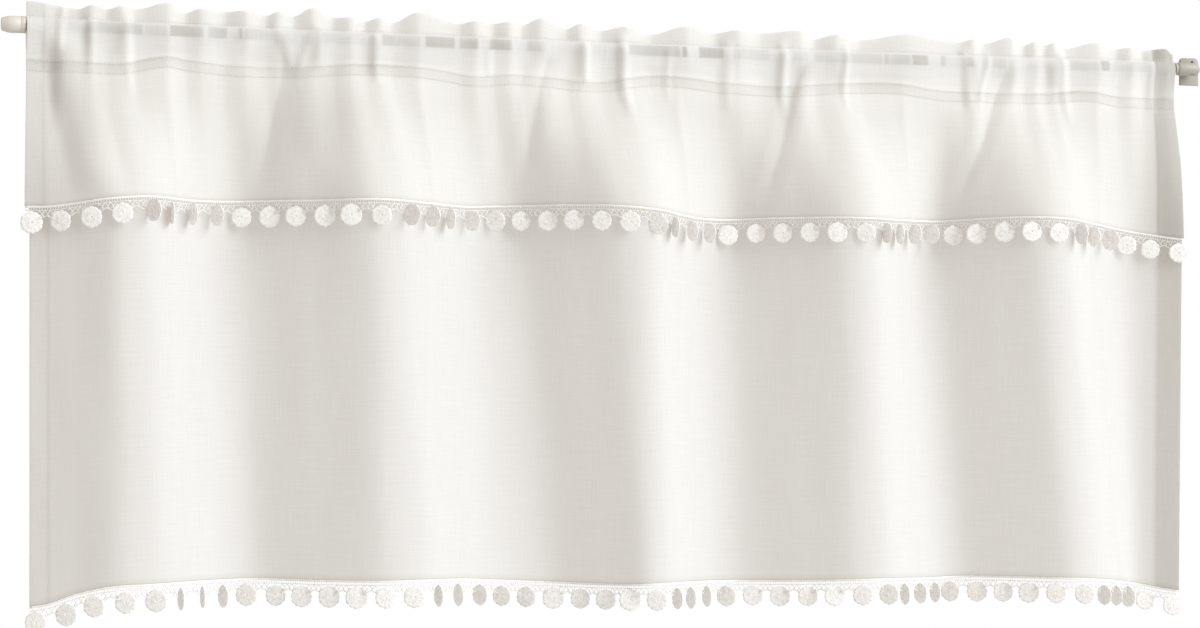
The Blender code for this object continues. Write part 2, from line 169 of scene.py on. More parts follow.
bpy.ops.object.select_all(action="DESELECT")
bpy.ops.mesh.primitive_circle_add(vertices=96, radius=FLOOR_RADIUS, fill_type="NGON",
                                  location=(CLOTH_MIDDLE.x, 0.0, FLOOR_DEPTH))
floor = bpy.context.object
floor.name = "pale_floor"
print("floor", -FLOOR_DEPTH, "m below the bracket")

# %% [markdown]
# ## Finishes
# Every finish starts from the real material. Colours are written as sRGB hex codes, as a paint shop
# would give them, and turned to linear values in one place. Patterns are sized in millimetres.

# %% Helpers for finishes


def linear(code):
    """Linear red, green, blue and alpha from an sRGB hex code."""
    shares = [int(code[k:k + 2], 16) / 255 for k in (1, 3, 5)]
    return (*[v / 12.92 if v <= 0.04045 else ((v + 0.055) / 1.055) ** 2.4 for v in shares], 1.0)


def new_finish(name):
    """An empty node material and its tree."""
    material = bpy.data.materials.new(name)
    material.use_nodes = True
    material.node_tree.nodes.clear()
    return material, material.node_tree


# %% [markdown]
# ### Voile
# Voile is a plain weave of fine, hard twisted thread, about 25 threads to a centimetre. Light passes
# through the gaps between the threads, a little over a quarter of the cloth, and glows through the
# threads themselves. A linen look comes from slubs, short thick places in the yarn that run along both
# thread directions. Real threads are 0.2 mm wide and would vanish at this distance, so the slubs are
# drawn 1.3 mm wide, which is what the eye reads in the photograph. Whatever lies close behind sheer
# cloth dulls it. Each point of the cloth keeps that, together with painted shade over the rod, in the
# pleats and on the panel, as an attribute that turns the colour from clean off-white to a greyer one.

# %% Voile, plain woven
SLUB_WIDTH, SLUB_LENGTH = 1.3 * MM, 38 * MM
CLOSED_LEAST, CLOSED_MOST = 0.69, 0.75          # the share of the cloth that threads cover
THREAD_GLOW = 0.32                              # the share of light that glows through a thread
# the greyer colour serves both for cloth dulled by what lies behind it and for painted shade
VOILE_CLEAN, VOILE_DULLED_AND_SHADED = "#FCFBF9", "#C8C4BA"


def voile_finish():
    """Sheer plain woven cloth: part open, part glowing with the light behind it."""
    material, tree = new_finish("voile_plain_woven")
    cloth = add_node(tree, "ShaderNodeTexCoord").outputs["UV"]
    slubs = []
    for scale in ((1 / SLUB_WIDTH, 1 / SLUB_LENGTH, 1.0), (1 / SLUB_LENGTH, 1 / SLUB_WIDTH, 1.0)):
        along = add_node(tree, "ShaderNodeMapping", {"Vector": cloth, "Scale": scale})
        slubs.append(add_node(tree, "ShaderNodeTexNoise", {
            "Vector": along.outputs[0], "Scale": 1.0, "Detail": 2.0, "Roughness": 0.6}).outputs["Fac"])
    threads = add_node(tree, "ShaderNodeMath", {0: slubs[0], 1: slubs[1]}, operation="ADD").outputs[0]
    closed = add_node(tree, "ShaderNodeMapRange", {
        "Value": threads, "From Min": 0.7, "From Max": 1.3,
        "To Min": CLOSED_LEAST, "To Max": CLOSED_MOST}).outputs[0]
    layers_and_painted_shade = add_node(tree, "ShaderNodeAttribute", attribute_name="layers_and_painted_shade").outputs["Fac"]
    colour = add_node(tree, "ShaderNodeMix", {
        0: layers_and_painted_shade, 6: linear(VOILE_CLEAN), 7: linear(VOILE_DULLED_AND_SHADED)}, data_type="RGBA").outputs[2]
    bump = add_node(tree, "ShaderNodeBump", {"Height": threads, "Strength": 0.22, "Distance": 0.1 * MM})
    lit = add_node(tree, "ShaderNodeBsdfPrincipled", {
        "Base Color": colour, "Roughness": 0.92, "Normal": bump.outputs[0], "Specular IOR Level": 0.15})
    glow = add_node(tree, "ShaderNodeBsdfTranslucent", {"Color": colour, "Normal": bump.outputs[0]})
    threads_lit = add_node(tree, "ShaderNodeMixShader", {
        0: THREAD_GLOW, 1: lit.outputs[0], 2: glow.outputs[0]})
    gaps = add_node(tree, "ShaderNodeBsdfTransparent", {"Color": (1, 1, 1, 1)})
    woven = add_node(tree, "ShaderNodeMixShader", {0: closed, 1: gaps.outputs[0], 2: threads_lit.outputs[0]})
    add_node(tree, "ShaderNodeOutputMaterial", {"Surface": woven.outputs[0]})
    return material


voile = voile_finish()
print("finish:", voile.name)

# %% [markdown]
# ### Cotton lace
# The trim is crocheted from soft cotton yarn. Yarn is matt and slightly warmer than the voile, it lets
# little light through, and its stitches are loops about 1.2 mm across, which give a mottled relief. The
# medallions have the thickest yarn and look the whitest. The tape and the net beside them are finer,
# and the sewing thread is a little darker. One function makes all three from their colour and glow.

# %% Cotton lace, crocheted
STITCH_LOOP = 1.2 * MM
# painted shade: this greyer tone stands for the hollows between the loops
LOOP_HOLLOW_SHADE = "#EEEAE5"


def lace_finish(name, code, glow_share):
    """Matt cotton yarn with the relief of small loops."""
    material, tree = new_finish(name)
    place = add_node(tree, "ShaderNodeTexCoord").outputs["Object"]
    loops = add_node(tree, "ShaderNodeTexVoronoi", {"Vector": place, "Scale": 1 / STITCH_LOOP})
    # a noise pattern lays the painted hollow shade into the yarn as a random mottle
    hollow_shade_noise = add_node(tree, "ShaderNodeTexNoise", {
        "Vector": place, "Scale": 0.45 / STITCH_LOOP, "Detail": 3.0})
    shade = add_node(tree, "ShaderNodeMapRange", {
        "Value": hollow_shade_noise.outputs["Fac"], "From Min": 0.38, "From Max": 0.55, "To Min": 0.0, "To Max": 1.0})
    tone = add_node(tree, "ShaderNodeMix", {
        0: shade.outputs[0], 6: linear(LOOP_HOLLOW_SHADE), 7: linear(code)}, data_type="RGBA")
    bump = add_node(tree, "ShaderNodeBump", {
        "Height": loops.outputs["Distance"], "Strength": 0.4, "Distance": 0.3 * MM})
    bump.invert = True
    lit = add_node(tree, "ShaderNodeBsdfPrincipled", {
        "Base Color": tone.outputs[2], "Roughness": 0.9, "Specular IOR Level": 0.2,
        "Sheen Weight": 0.1, "Normal": bump.outputs[0]})
    glow = add_node(tree, "ShaderNodeBsdfTranslucent", {"Color": linear(code), "Normal": bump.outputs[0]})
    yarn = add_node(tree, "ShaderNodeMixShader", {0: glow_share, 1: lit.outputs[0], 2: glow.outputs[0]})
    add_node(tree, "ShaderNodeOutputMaterial", {"Surface": yarn.outputs[0]})
    return material


cotton = lace_finish("cotton_lace_crocheted", "#FBF9F6", 0.03)
cotton_band = lace_finish("cotton_band_thin", "#F6F3EF", 0.02)
sewing_thread = lace_finish("cotton_sewing_thread", "#EAE5DF", 0.1)
print("finishes:", cotton.name, cotton_band.name, sewing_thread.name)

# %% [markdown]
# ### Rod enamel and moulded plastic
# The rod is drawn steel tube under a baked grey-beige enamel, smooth with a faint orange peel from the
# spray. The cup and the bracket are moulded plastic with the fine satin grain of an eroded mould. The
# cup is a pale beige, and the bracket has a darker grey-beige copy of the same plastic: painted shade,
# as the bracket lies in shade at the rod's right end.

# %% Enamelled steel and moulded plastic


def hard_finish(name, code, roughness, grain, height, clear):
    """A smooth hard surface with one fine grain, in metres."""
    material, tree = new_finish(name)
    place = add_node(tree, "ShaderNodeTexCoord").outputs["Object"]
    peel = add_node(tree, "ShaderNodeTexNoise", {"Vector": place, "Scale": 1 / grain, "Detail": 3.0})
    dust = add_node(tree, "ShaderNodeTexNoise", {"Vector": place, "Scale": 1 / (22 * MM), "Detail": 4.0})
    rough = add_node(tree, "ShaderNodeMapRange", {
        "Value": dust.outputs["Fac"], "To Min": roughness - 0.06, "To Max": roughness + 0.08})
    bump = add_node(tree, "ShaderNodeBump", {
        "Height": peel.outputs["Fac"], "Strength": 0.4, "Distance": height})
    shader = add_node(tree, "ShaderNodeBsdfPrincipled", {
        "Base Color": linear(code), "Roughness": rough.outputs[0], "Coat Weight": clear,
        "Coat Roughness": 0.2, "Normal": bump.outputs[0]})
    add_node(tree, "ShaderNodeOutputMaterial", {"Surface": shader.outputs[0]})
    return material


enamel = hard_finish("steel_tube_enamelled", "#80786C", 0.38, 1.1 * MM, 0.02 * MM, 0.25)
cap_plastic = hard_finish("plastic_satin_pale_beige", "#D2CBC1", 0.45, 0.35 * MM, 0.03 * MM, 0.0)
# painted shade: the bracket's copy of the cup's plastic is made darker
bracket_plastic_painted_shade = hard_finish("plastic_satin_beige_painted_shade", "#A8A297", 0.45, 0.35 * MM, 0.03 * MM, 0.0)
print("finishes:", enamel.name, cap_plastic.name, bracket_plastic_painted_shade.name)

# %% [markdown]
# ## How the cloth hangs
# Both cloths are cut about 1.5 m wide and drawn up to 1.22 m on the rod. At the rod the fullness shows
# as many small gathers. Below the pocket they melt into five broad, round folds, about a quarter of a
# metre wide and 70 mm deep. Tables give the gathers and the folds as they fall, and a few functions turn
# them into points at any height. Each row of the cloth has the same columns, so a column is one thread
# that hangs from header to hem. A cloth simulation could drape it too, but the folds would not fall
# where the photograph shows them.

# %% Sizes round the rod
ROD_LEFT, ROD_RIGHT = -20.0, 1243.0
ROD_SAG = 3.0
ROD_RADIUS = 5.25
ROD_WRAP = 6.1              # from the rod's axis to the cloth round it
LAYER = 1.1                 # from the middle of one cloth layer to the middle of the next
SHOULDER, DRAWN_IN = 0.72, 0.6                          # where the cloth bends in over the rod, how far
STITCH_Z, POCKET_Z, SEAM_Z = 8.5, -13.0, -30.0          # seam above the rod, pocket, seam below it
ROD_EDGE_ROWS, ROD_TOP_ROW = (-7.2, -5.9, -4.7), 6.2    # rows along the rod's lower and upper edge
SEAM_FORWARD = 1.5          # the flap behind the lower seam pushes it to the room
SEAM_DROPS = (
    # x, how far the pocket's seam hangs below the rod
    (0, 34), (60, 34.5), (98, 33), (120, 27.5), (136, 25.5), (156, 28), (209, 32), (270, 30), (318, 25.5),
    (369, 25), (410, 28), (446, 33), (482, 29.5), (520, 31), (577, 34), (606, 29), (629, 25.5), (662, 26),
    (705, 30), (770, 32), (836, 27), (907, 26), (938, 30.5), (1000, 32), (1073, 31), (1119, 27.5),
    (1150, 32), (1190, 33), (1220, 33),
)
POCKET_SLACK = 1.0          # how far the pocket's back hangs away from the rod
FLAP_BELOW_SEAM = 11.0      # the edge that is turned in below the pocket
HEADER_SPACE = 0.9          # half the space between the header's two layers
print("rod", ROD_RIGHT - ROD_LEFT, "mm long, sagging", ROD_SAG, "mm")

# %% Table of the gathers
GATHER_HEADER, GATHER_ROD, GATHER_SEAM = 3.2, 3.2, 1.5  # depth in the header, on the rod, at the seam
ROD_CONTACT = 1.8           # above 1 the gathers bear on the rod over more of their width
GATHER_FULL, GATHER_LEAST = 22.0, 0.5                   # narrower than this a gather is less deep
GATHER_FLAT = 0.45          # how flat the cloth is between two turns of a gather, from 0 to 1
COLUMN_STEP = 2.6
GATHERS = (
    # crest x, crest top, trough x, trough top
    (0, 24.0, 50, 19.0), (62, 23.0, 77, 20.0), (91, 23.5, 104, 21.5), (136, 28.5, 154, 20.0),
    (168, 24.5, 192, 23.0), (212, 24.5, 234, 21.0), (244, 25.0, 261, 22.0), (279, 30.0, 300, 22.0),
    (317, 22.5, 332, 19.5), (347, 23.5, 360, 19.5), (386, 30.5, 429, 21.5), (445, 24.5, 464, 23.0),
    (480, 25.0, 494, 22.5), (513, 30.0, 541, 20.5), (554, 26.0, 577, 20.5), (603, 25.0, 630, 18.5),
    (668, 27.5, 700, 22.5), (724, 26.0, 750, 24.5), (792, 28.0, 808, 20.0), (832, 25.0, 860, 21.0),
    (911, 28.0, 973, 22.0), (986, 25.5, 999, 21.5), (1030, 28.5, 1045, 20.5), (1058, 25.0, 1069, 21.5),
    (1080, 24.5, 1090, 18.5), (1130, 26.0, 1154, 20.5), (1169, 22.0, 1184, 19.5), (1210, 22.0, 1220, 16.5),
)
print(len(GATHERS), "gathers on the rod")

# %% Tables of the folds and hems
FOLD_TOP, FOLD_FULL, FOLD_EASE = 34.0, 190.0, 0.8       # depths where the folds start and are full
FLOUNCE_STAND, STAND_FULL = 7.5, 0.6    # how far the flounce stands off, and from what share of its drop
FLOUNCE_HEM, PANEL_HEM = 168.0, 545.0
LINE_POINTS = 900
SIDES = ((0.0, 1220.0), (4.5, 1208.0))  # x of both side edges, at the rod and at the panel's hem
FLOUNCE_FLARE = (3.0, 2.5)              # how far the flounce's hem spreads at the left and the right
# The line of the folds: each knot's x at the flounce's hem, x at the panel's hem, and y at both.
FOLD_KNOTS = (
    (0, 4.5, -36), (38, 44, -47), (85, 102, -61), (114, 128, -56), (147, 173, -24), (210, 225, 9),
    (272, 281, -25), (334, 343, -61), (356, 381, -57), (402, 430, -26), (452, 492, 4), (494, 540, 8),
    (536, 576, -26), (582, 604, -57), (613, 628, -58), (658, 669, -23), (722, 730, 9), (776, 787, -30),
    (820, 831, -60), (850, 862, -60), (888, 913, -27), (954, 984, 7), (990, 1022, -30),
    (1034, 1064, -61), (1064, 1095, -60), (1102, 1138, -31), (1174, 1172, -6), (1220, 1208, -28),
)
HANG = (
    # x, flounce's hem, panel's hem
    (0, 178.5, 559.0), (20, 178.5, 556.0), (45, 175.5, 547.0), (75, 171.0, 540.0), (115, 167.5, 537.5),
    (160, 167.5, 536.5), (220, 165.5, 536.5), (300, 166.0, 537.5), (335, 165.5, 537.5),
    (385, 166.5, 537.0), (430, 167.0, 538.0), (475, 164.5, 541.0), (570, 166.0, 545.0),
    (635, 170.5, 543.5), (668, 173.5, 544.0), (745, 172.5, 545.0), (860, 173.5, 542.0),
    (935, 170.5, 544.0), (1030, 168.5, 543.5), (1090, 171.0, 545.0), (1130, 174.5, 548.5),
    (1175, 180.0, 554.5), (1210, 186.0, 561.0), (1220, 187.0, 561.5),
)
print("the panel's hem hangs", min(row[2] for row in HANG), "to", max(row[2] for row in HANG), "mm deep")

# %% [markdown]
# ### Curves and lengths
# Cloth neither breaks nor stretches, so every table is read through a smooth curve, and the columns are
# spread by the length along the cloth, not by x.

# %% Curves that the hung cloth follows


def between(start, end, rise_in, rise_out, t):
    """The curve from start to end at the share t of the way, with the rise it has at each of them."""
    return (
        start * (2 * t**3 - 3 * t**2 + 1)
        + end * (3 * t**2 - 2 * t**3)
        + rise_in * (t**3 - 2 * t**2 + t)
        + rise_out * (t**3 - t**2)
    )


def hermite(x, xs, ys):
    """A smooth curve through the points (xs, ys), read at x."""
    xs, ys = np.asarray(xs, float), np.asarray(ys, float)
    slopes = np.gradient(ys, xs)
    x = np.clip(x, xs[0], xs[-1])
    left = np.clip(np.searchsorted(xs, x, side="right") - 1, 0, len(xs) - 2)
    step = xs[left + 1] - xs[left]
    t = (x - xs[left]) / step
    return between(ys[left], ys[left + 1], slopes[left] * step, slopes[left + 1] * step, t)


def smoothstep(value):
    """0 below 0, 1 above 1 and a soft rise between."""
    value = np.clip(value, 0.0, 1.0)
    return value * value * (3 - 2 * value)


def running_sum(steps):
    """Where each point lies along a line, from the lengths of the steps between them."""
    return np.concatenate([[0.0], np.cumsum(steps)])


def arc_length(*sides):
    """The length along a line up to each of its points, from its coordinates."""
    return running_sum(np.sqrt(sum(np.diff(side) ** 2 for side in sides)))


def rod_height(x):
    """The rod's axis sags a little between its two ends."""
    along = (x - ROD_LEFT) / (ROD_RIGHT - ROD_LEFT)
    return -ROD_SAG * 4 * along * (1 - along)


# %% [markdown]
# ### Gathers
# Pushed together on the rod, the cloth turns forward and back about every 20 mm. The table lists these
# turns as the photograph shows them. Between two turns pressed cloth is nearly flat, not a round wave.

# %% Gathers of the header


def header_columns():
    """x, top and wave of the gathered header at each column, the wave from -1 on a full gather's
    crest to 1 in its trough. Between its turns a pressed gather is nearly flat."""
    turns = []
    for crest_x, crest_top, trough_x, trough_top in GATHERS:
        turns += [(crest_x, crest_top, -1.0), (trough_x, trough_top, 1.0)]
    turn_x, turn_top, turn_wave = np.array(turns, float).T
    spans = np.diff(turn_x)
    columns = [turn_x[0]]
    for start, span in zip(turn_x, spans):
        count = max(1, round(span / COLUMN_STEP))
        columns += [start + span * k / count for k in range(1, count + 1)]
    x = np.array(columns)
    left = np.clip(np.searchsorted(turn_x, x, side="right") - 1, 0, len(turns) - 2)
    share = (x - turn_x[left]) / spans[left]
    ease = 0.5 - 0.5 * np.cos(math.pi * share)
    top = turn_top[left] + (turn_top[left + 1] - turn_top[left]) * ease
    depth = np.interp(x, (turn_x[:-1] + turn_x[1:]) / 2, np.clip(spans / GATHER_FULL, GATHER_LEAST, 1.0))
    turned = ease + (share - ease) * GATHER_FLAT
    return x, top, turn_wave[left] * (1 - 2 * turned) * depth


HEADER_X, HEADER_TOP, WAVE = header_columns()
ALONG_HEADER = arc_length(HEADER_X, GATHER_HEADER * WAVE)
CUT_SHARE = ALONG_HEADER / ALONG_HEADER[-1]
print(len(HEADER_X), "columns across the cloth")

# %% [markdown]
# ### Broad folds
# Seen from above, each height of the cloth is one line: the gathers at the rod, the folds at the hem, and
# between them a blend of both. The layers are kept apart by moving this line square to itself.

# %% Broad folds below the pocket


def fold_line(x, level):
    """y of the folded cloth at x. level is 0 at the flounce's hem and 1 at the panel's."""
    at_flounce, at_hem, y = np.array(FOLD_KNOTS, float).T
    return hermite(x, at_flounce + (at_hem - at_flounce) * level, y)


def folded(z):
    """x and y of each column where the cloth hangs in its main folds alone, at height z."""
    level = np.clip((-z - FLOUNCE_HEM) / (PANEL_HEM - FLOUNCE_HEM), 0.0, 1.0)
    share = np.clip(-z / PANEL_HEM, 0.0, 1.0)
    left, right = (SIDES[0][k] + (SIDES[1][k] - SIDES[0][k]) * share for k in (0, 1))
    x = np.linspace(left, right, LINE_POINTS)
    y = fold_line(x, level)
    run = arc_length(x, y)
    return np.interp(CUT_SHARE * run[-1], run, x), np.interp(CUT_SHARE * run[-1], run, y)


def plan(z):
    """x and y of the panel's front layer at each column, at height z. The header's gathers go round
    the rod, close again at the pocket's seam and give way to the broad folds below it."""
    header = GATHER_HEADER * WAVE - HEADER_SPACE
    at_rod = -ROD_WRAP - GATHER_ROD * ((1 - WAVE) / 2) ** ROD_CONTACT
    at_seam = GATHER_SEAM * WAVE - LAYER / 2 - SEAM_FORWARD
    up = smoothstep(z / STITCH_Z)
    down = smoothstep(z / SEAM_Z)
    gathered = at_rod * (1 - up) * (1 - down) + header * up + at_seam * down
    x_fold, y_fold = folded(z)
    weight = smoothstep((-z - FOLD_TOP) / (FOLD_FULL - FOLD_TOP)) ** FOLD_EASE
    return HEADER_X * (1 - weight) + x_fold * weight, gathered * (1 - weight) + y_fold * weight


def shifted(x, y, by):
    """The line x, y moved by so much towards the room, square to itself."""
    dx, dy = np.gradient(x), np.gradient(y)
    length = np.hypot(dx, dy)
    return x + by * dy / length, y - by * dx / length


def over_rod(y):
    """The front layer's y where it bends in over the rod, from its y beside the rod's axis."""
    return y - (y + ROD_WRAP * SHOULDER) * DRAWN_IN


def seam_height():
    """The pocket's seam rises where the cloth was pressed and hangs lower between."""
    x, drop = np.array(SEAM_DROPS, float).T
    return rod_height(HEADER_X) - hermite(HEADER_X, x, drop)


print("folds", round(float(np.ptp(fold_line(HEADER_X, 1.0)))), "mm deep at the panel's hem")

# %% [markdown]
# ### The way of each cloth
# The panel starts at its hem and rises in front of the rod to the top of the header. There it turns
# back, comes down behind the rod and ends as a flap below the pocket's seam. The flounce starts at its
# own hem and ends in the header, one layer in front of the panel. Each is written as rows of points.

# %% Rows of the two cloths
BAND_DROP, BAND_ROWS = 16.0, 14         # the rows lie close together in the seam band
FREE_STEP, HEM_ROW = 5.0, 1.3           # they are wider apart below it, with one row along the hem


def row(x, y, z):
    """One row of points at height z."""
    return np.stack([x, y, np.broadcast_to(z, x.shape)], axis=-1)


def lower_rows(hem, hem_column, shares, offset):
    """Rows from a hem up to the pocket's seam. hem is its mean drop, hem_column picks its own in
    HANG, shares are the rows' places and offset moves each row towards the room."""
    table = np.array(HANG)
    seam = seam_height()
    rows = []
    for share, by in zip(shares, offset):
        x, y = shifted(*plan(SEAM_Z - (hem + SEAM_Z) * share), by)
        z = seam + (-hermite(x, table[:, 0], table[:, hem_column]) - seam) * share
        rows.append(row(x, y, z))
    return rows


def row_shares(drop):
    """The rows' places between hem and seam, as shares of the drop."""
    band = BAND_DROP / drop
    free = np.linspace(1.0 - HEM_ROW / drop, band, round((drop - BAND_DROP) / FREE_STEP))
    return np.concatenate([[1.0], free, np.linspace(band, 0.0, BAND_ROWS)[1:]])


def front_rows(forward, stitch_z, top_z):
    """Rows from the pocket up the front of the rod and the header, so much in front of the panel."""
    y_shoulder, y_header = over_rod(plan(0.0)[1]), plan(STITCH_Z)[1]
    lines = [(*plan(z), z) for z in (POCKET_Z, *ROD_EDGE_ROWS, 0.0)]
    lines.append((HEADER_X, y_shoulder, (ROD_WRAP + forward) * SHOULDER))
    lines.append((HEADER_X, y_shoulder + (y_header - y_shoulder) / 3, ROD_TOP_ROW))
    lines.append((HEADER_X, y_header, stitch_z))
    lines.append((HEADER_X, y_header, top_z))
    return [row(*shifted(x, y, forward), z + rod_height(HEADER_X)) for x, y, z in lines]


def panel_rows():
    """The panel from its hem up the front of the rod, over the header and down behind the rod, with
    the number of the row where it turns back."""
    sag, seam = rod_height(HEADER_X), seam_height()
    shares = row_shares(PANEL_HEM + SEAM_Z)[:-1]
    front = lower_rows(PANEL_HEM, 2, shares, np.zeros(len(shares)))
    y_seam = plan(SEAM_Z)[1]
    front.append(row(HEADER_X, y_seam, seam))
    front += front_rows(0.0, STITCH_Z, HEADER_TOP - HEADER_SPACE)
    y_back = plan(STITCH_Z)[1] + 2 * HEADER_SPACE
    back_rod = ROD_WRAP + GATHER_ROD * (1 + WAVE) / 2
    back_seam = y_seam + LAYER
    back = [
        row(HEADER_X, y_back, HEADER_TOP - HEADER_SPACE + sag),
        row(HEADER_X, y_back, STITCH_Z + sag),
        row(HEADER_X, -over_rod(-back_rod), ROD_WRAP * SHOULDER + sag),
        row(HEADER_X, back_rod, sag),
        row(HEADER_X, (back_rod + back_seam) / 2 + POCKET_SLACK, POCKET_Z + sag),
        row(HEADER_X, back_seam, seam),
        row(*shifted(*plan(SEAM_Z - FLAP_BELOW_SEAM), -LAYER), seam - FLAP_BELOW_SEAM),
    ]
    return np.array([*front, *back]), len(front) - 1


def flounce_rows():
    """The flounce from its hem up to the top of the header, in front of the panel."""
    shares = row_shares(FLOUNCE_HEM + SEAM_Z)
    stand = LAYER + (FLOUNCE_STAND - LAYER) * smoothstep(shares / STAND_FULL)
    rows = lower_rows(FLOUNCE_HEM, 1, shares, stand)
    spread = np.linspace(-FLOUNCE_FLARE[0], FLOUNCE_FLARE[1], len(HEADER_X))
    for share, points in zip(shares, rows):
        points[:, 0] += spread * share
    return np.array(rows + front_rows(LAYER, STITCH_Z + LAYER / 3, HEADER_TOP - LAYER))


# %% [markdown]
# ### Finer rows
# The rows so far stand only where the cloth turns. Smooth curves through them add rows 2.6 mm apart.
# These curves never swing past a row, or the cloth would cut into the rod that it lies on.

# %% Finer rows
ROW_STEP = 2.6
TURN_STEPS = 3              # steps over the tight turn at the header's top


def smooth_rows(rows, turn=None):
    """More rows between the given ones, on curves that pass through them and never swing past."""
    gaps = np.linalg.norm(np.diff(rows, axis=0), axis=-1).mean(axis=1)
    secants = np.diff(rows, axis=0) / gaps[:, None, None]
    slopes = np.zeros_like(rows)
    product = secants[:-1] * secants[1:]
    total = secants[:-1] + secants[1:]
    slopes[1:-1] = np.where(product > 0, 2 * product / np.where(product > 0, total, 1.0), 0.0)
    slopes[0], slopes[-1] = secants[0], secants[-1]
    finer = []
    for k, gap in enumerate(gaps):
        count = 1 if gap < 2 * ROW_STEP else round(gap / ROW_STEP)
        if k == turn:
            count = TURN_STEPS
        for t in np.arange(count) / count:
            finer.append(between(rows[k], rows[k + 1], slopes[k] * gap, slopes[k + 1] * gap, t))
    finer.append(rows[-1])
    return np.array(finer)


# %% [markdown]
# ### Creases and pleats
# The folded cloth kept five sharp creases from its packing. Narrow pleats run down from the gathers, and
# slanting valleys lead from the gathers to the dark sides of the folds. Each is one row of a table, and
# the cloth's points move square to the cloth by its depth. A faint waviness keeps the rest from looking
# like sheet metal.

# %% Creases and pleats
CREASE_IN, CREASE_OUT = 0.15, 0.3       # shares of a crease's length over which it starts and ends
FOLLOW_FROM, FOLLOW_OVER = 45, 60       # mm below the rod where the panel starts to hang more freely
CREASES = (
    # x and height at the top, x and height at the foot, half width, depth to the room, sharp or soft
    # The five creases that the folded cloth kept from its packing.
    (136, 12, 120, -560, 11, 1.3, 1), (389, 14, 360, -560, 11, 1.3, 1), (660, 14, 629, -560, 12, 1.3, 1),
    (907, 14, 884, -560, 11, 1.1, 1), (1129, 10, 1110, -560, 11, 1.2, 1),
    # Narrow pleats that start at the gathers and run out below the pocket.
    (35, 24, 28, -34, 6, 2.2, 0), (32, 4, 68, -190, 25, 8.0, 0), (61, 18, 62, -62, 6, 1.8, 0),
    (95, 20, 98, -75, 7, 1.8, 0),
    (240, 16, 256, -34, 6, 0.9, 0), (284, 18, 262, -40, 7, 1.1, 0), (341, 12, 344, -50, 6, 1.6, 0),
    (456, 14, 460, -40, 6, 1.0, 0), (558, 12, 560, -42, 6, 2.2, 0), (598, 20, 602, -78, 8, 3.0, 0),
    (648, 10, 646, -60, 6, 1.2, 0), (712, 22, 712, -70, 9, 1.6, 0), (773, 20, 772, -72, 7, 2.4, 0),
    (842, 20, 838, -66, 6, 1.8, 0), (975, 20, 984, -60, 8, 2.2, 0), (1004, 14, 990, -56, 6, 2.0, 0),
    (1086, 22, 1094, -70, 8, 2.4, 0), (1192, 22, 1194, -60, 7, 1.4, 0),
    # Sharp valleys that fall slantwise from a bunch of gathers to the next dark side of a fold.
    (254, -18, 216, -172, 16, -2.4, 1), (524, 0, 480, -150, 15, -3.0, 1), (798, 0, 738, -172, 16, -3.6, 1),
    (1026, 0, 964, -168, 16, -3.8, 1),
)


def waviness(x, height):
    """Two faint ripples of uneven length, under half a millimetre high, that end at the rod."""
    by = 0.35 * np.sin(x / 8.3 + 1.6 * np.sin(height / 61)) * np.sin(x / 47 + height / 130)
    by += 0.45 * np.sin(x / 13.7 - height / 95 + 1.2 * np.sin(x / 120)) * np.sin(height / 83 - x / 71)
    return by * smoothstep((-height - 12) / 60)


def line_place(x, height, top_x, top, foot_x, foot):
    """For a slanting line from its top to its foot: each point's share of the way down and how far
    beside the line it lies."""
    down = (top - height) / (top - foot)
    return down, x - top_x - (foot_x - top_x) * np.clip(down, 0.0, 1.0)


def creased(rows, follow):
    """The rows moved by the creases and by a faint waviness, square to the cloth. A crease is followed
    fully above the pocket's seam and by the share follow far below it."""
    height = rows[..., 2] - rod_height(HEADER_X)
    x = np.broadcast_to(HEADER_X, height.shape)
    by = waviness(x, height)
    followed = 1 - (1 - follow) * smoothstep((-height - FOLLOW_FROM) / FOLLOW_OVER)
    for *ends, half, depth, sharp in CREASES:
        down, beside = line_place(x, height, *ends)
        across = np.clip(np.abs(beside) / half, 0.0, 1.0)
        shape = (1 - across) ** 1.5 if sharp else (1 - across**2) ** 2
        fade = smoothstep(down / CREASE_IN) * smoothstep((1 - down) / CREASE_OUT)
        if depth < 0:
            # The rod holds the cloth forward, so a valley starts only beside it.
            fade = fade * smoothstep((np.abs(height) - 5) / 12)
        by += depth * shape * fade * followed
    moved = rows.copy()
    for k, line in enumerate(rows):
        moved[k, :, 0], moved[k, :, 1] = shifted(line[:, 0], line[:, 1], by[k])
    return moved


# %% [markdown]
# ### Side hems
# Each side of both cloths is turned once to the back and sewn down, 17 mm wide on the left and 24 mm on
# the right. The strip lies close behind the cloth and shows through it.

# %% Turn the side hems
SIDE_HEM_GAP = 0.7
SIDE_HEMS = (17.0, 24.0)
BEND_TURNS = (math.pi / 4, math.pi / 2, 3 * math.pi / 4)


def turned_hems(rows):
    """The rows with a strip at each side turned round to the back and laid against the cloth, and the
    number of columns in front of the cloth's own left edge."""
    back = rows.copy()
    for k, line in enumerate(rows):
        back[k, :, 0], back[k, :, 1] = shifted(line[:, 0], line[:, 1], -SIDE_HEM_GAP)
    width = np.linalg.norm(np.diff(rows, axis=1), axis=-1).mean(axis=0)
    left = int(np.searchsorted(np.cumsum(width), SIDE_HEMS[0]))
    right = int(np.searchsorted(np.cumsum(width[::-1]), SIDE_HEMS[1]))
    bends = []
    for edge, inner in ((0, 1), (-1, -2)):
        outward = rows[:, edge] - rows[:, inner]
        outward /= np.linalg.norm(outward, axis=1)[:, None]
        middle, spoke = (rows[:, edge] + back[:, edge]) / 2, (rows[:, edge] - back[:, edge]) / 2
        bends.append([middle + spoke * math.cos(turn) + outward * SIDE_HEM_GAP / 2 * math.sin(turn)
                      for turn in BEND_TURNS])
    left_bend, right_bend = np.stack(bends[0][::-1], axis=1), np.stack(bends[1], axis=1)
    grid = np.concatenate([back[:, left::-1], left_bend, rows, right_bend, back[:, :-2 - right:-1]], axis=1)
    return grid, left + len(BEND_TURNS) + 1
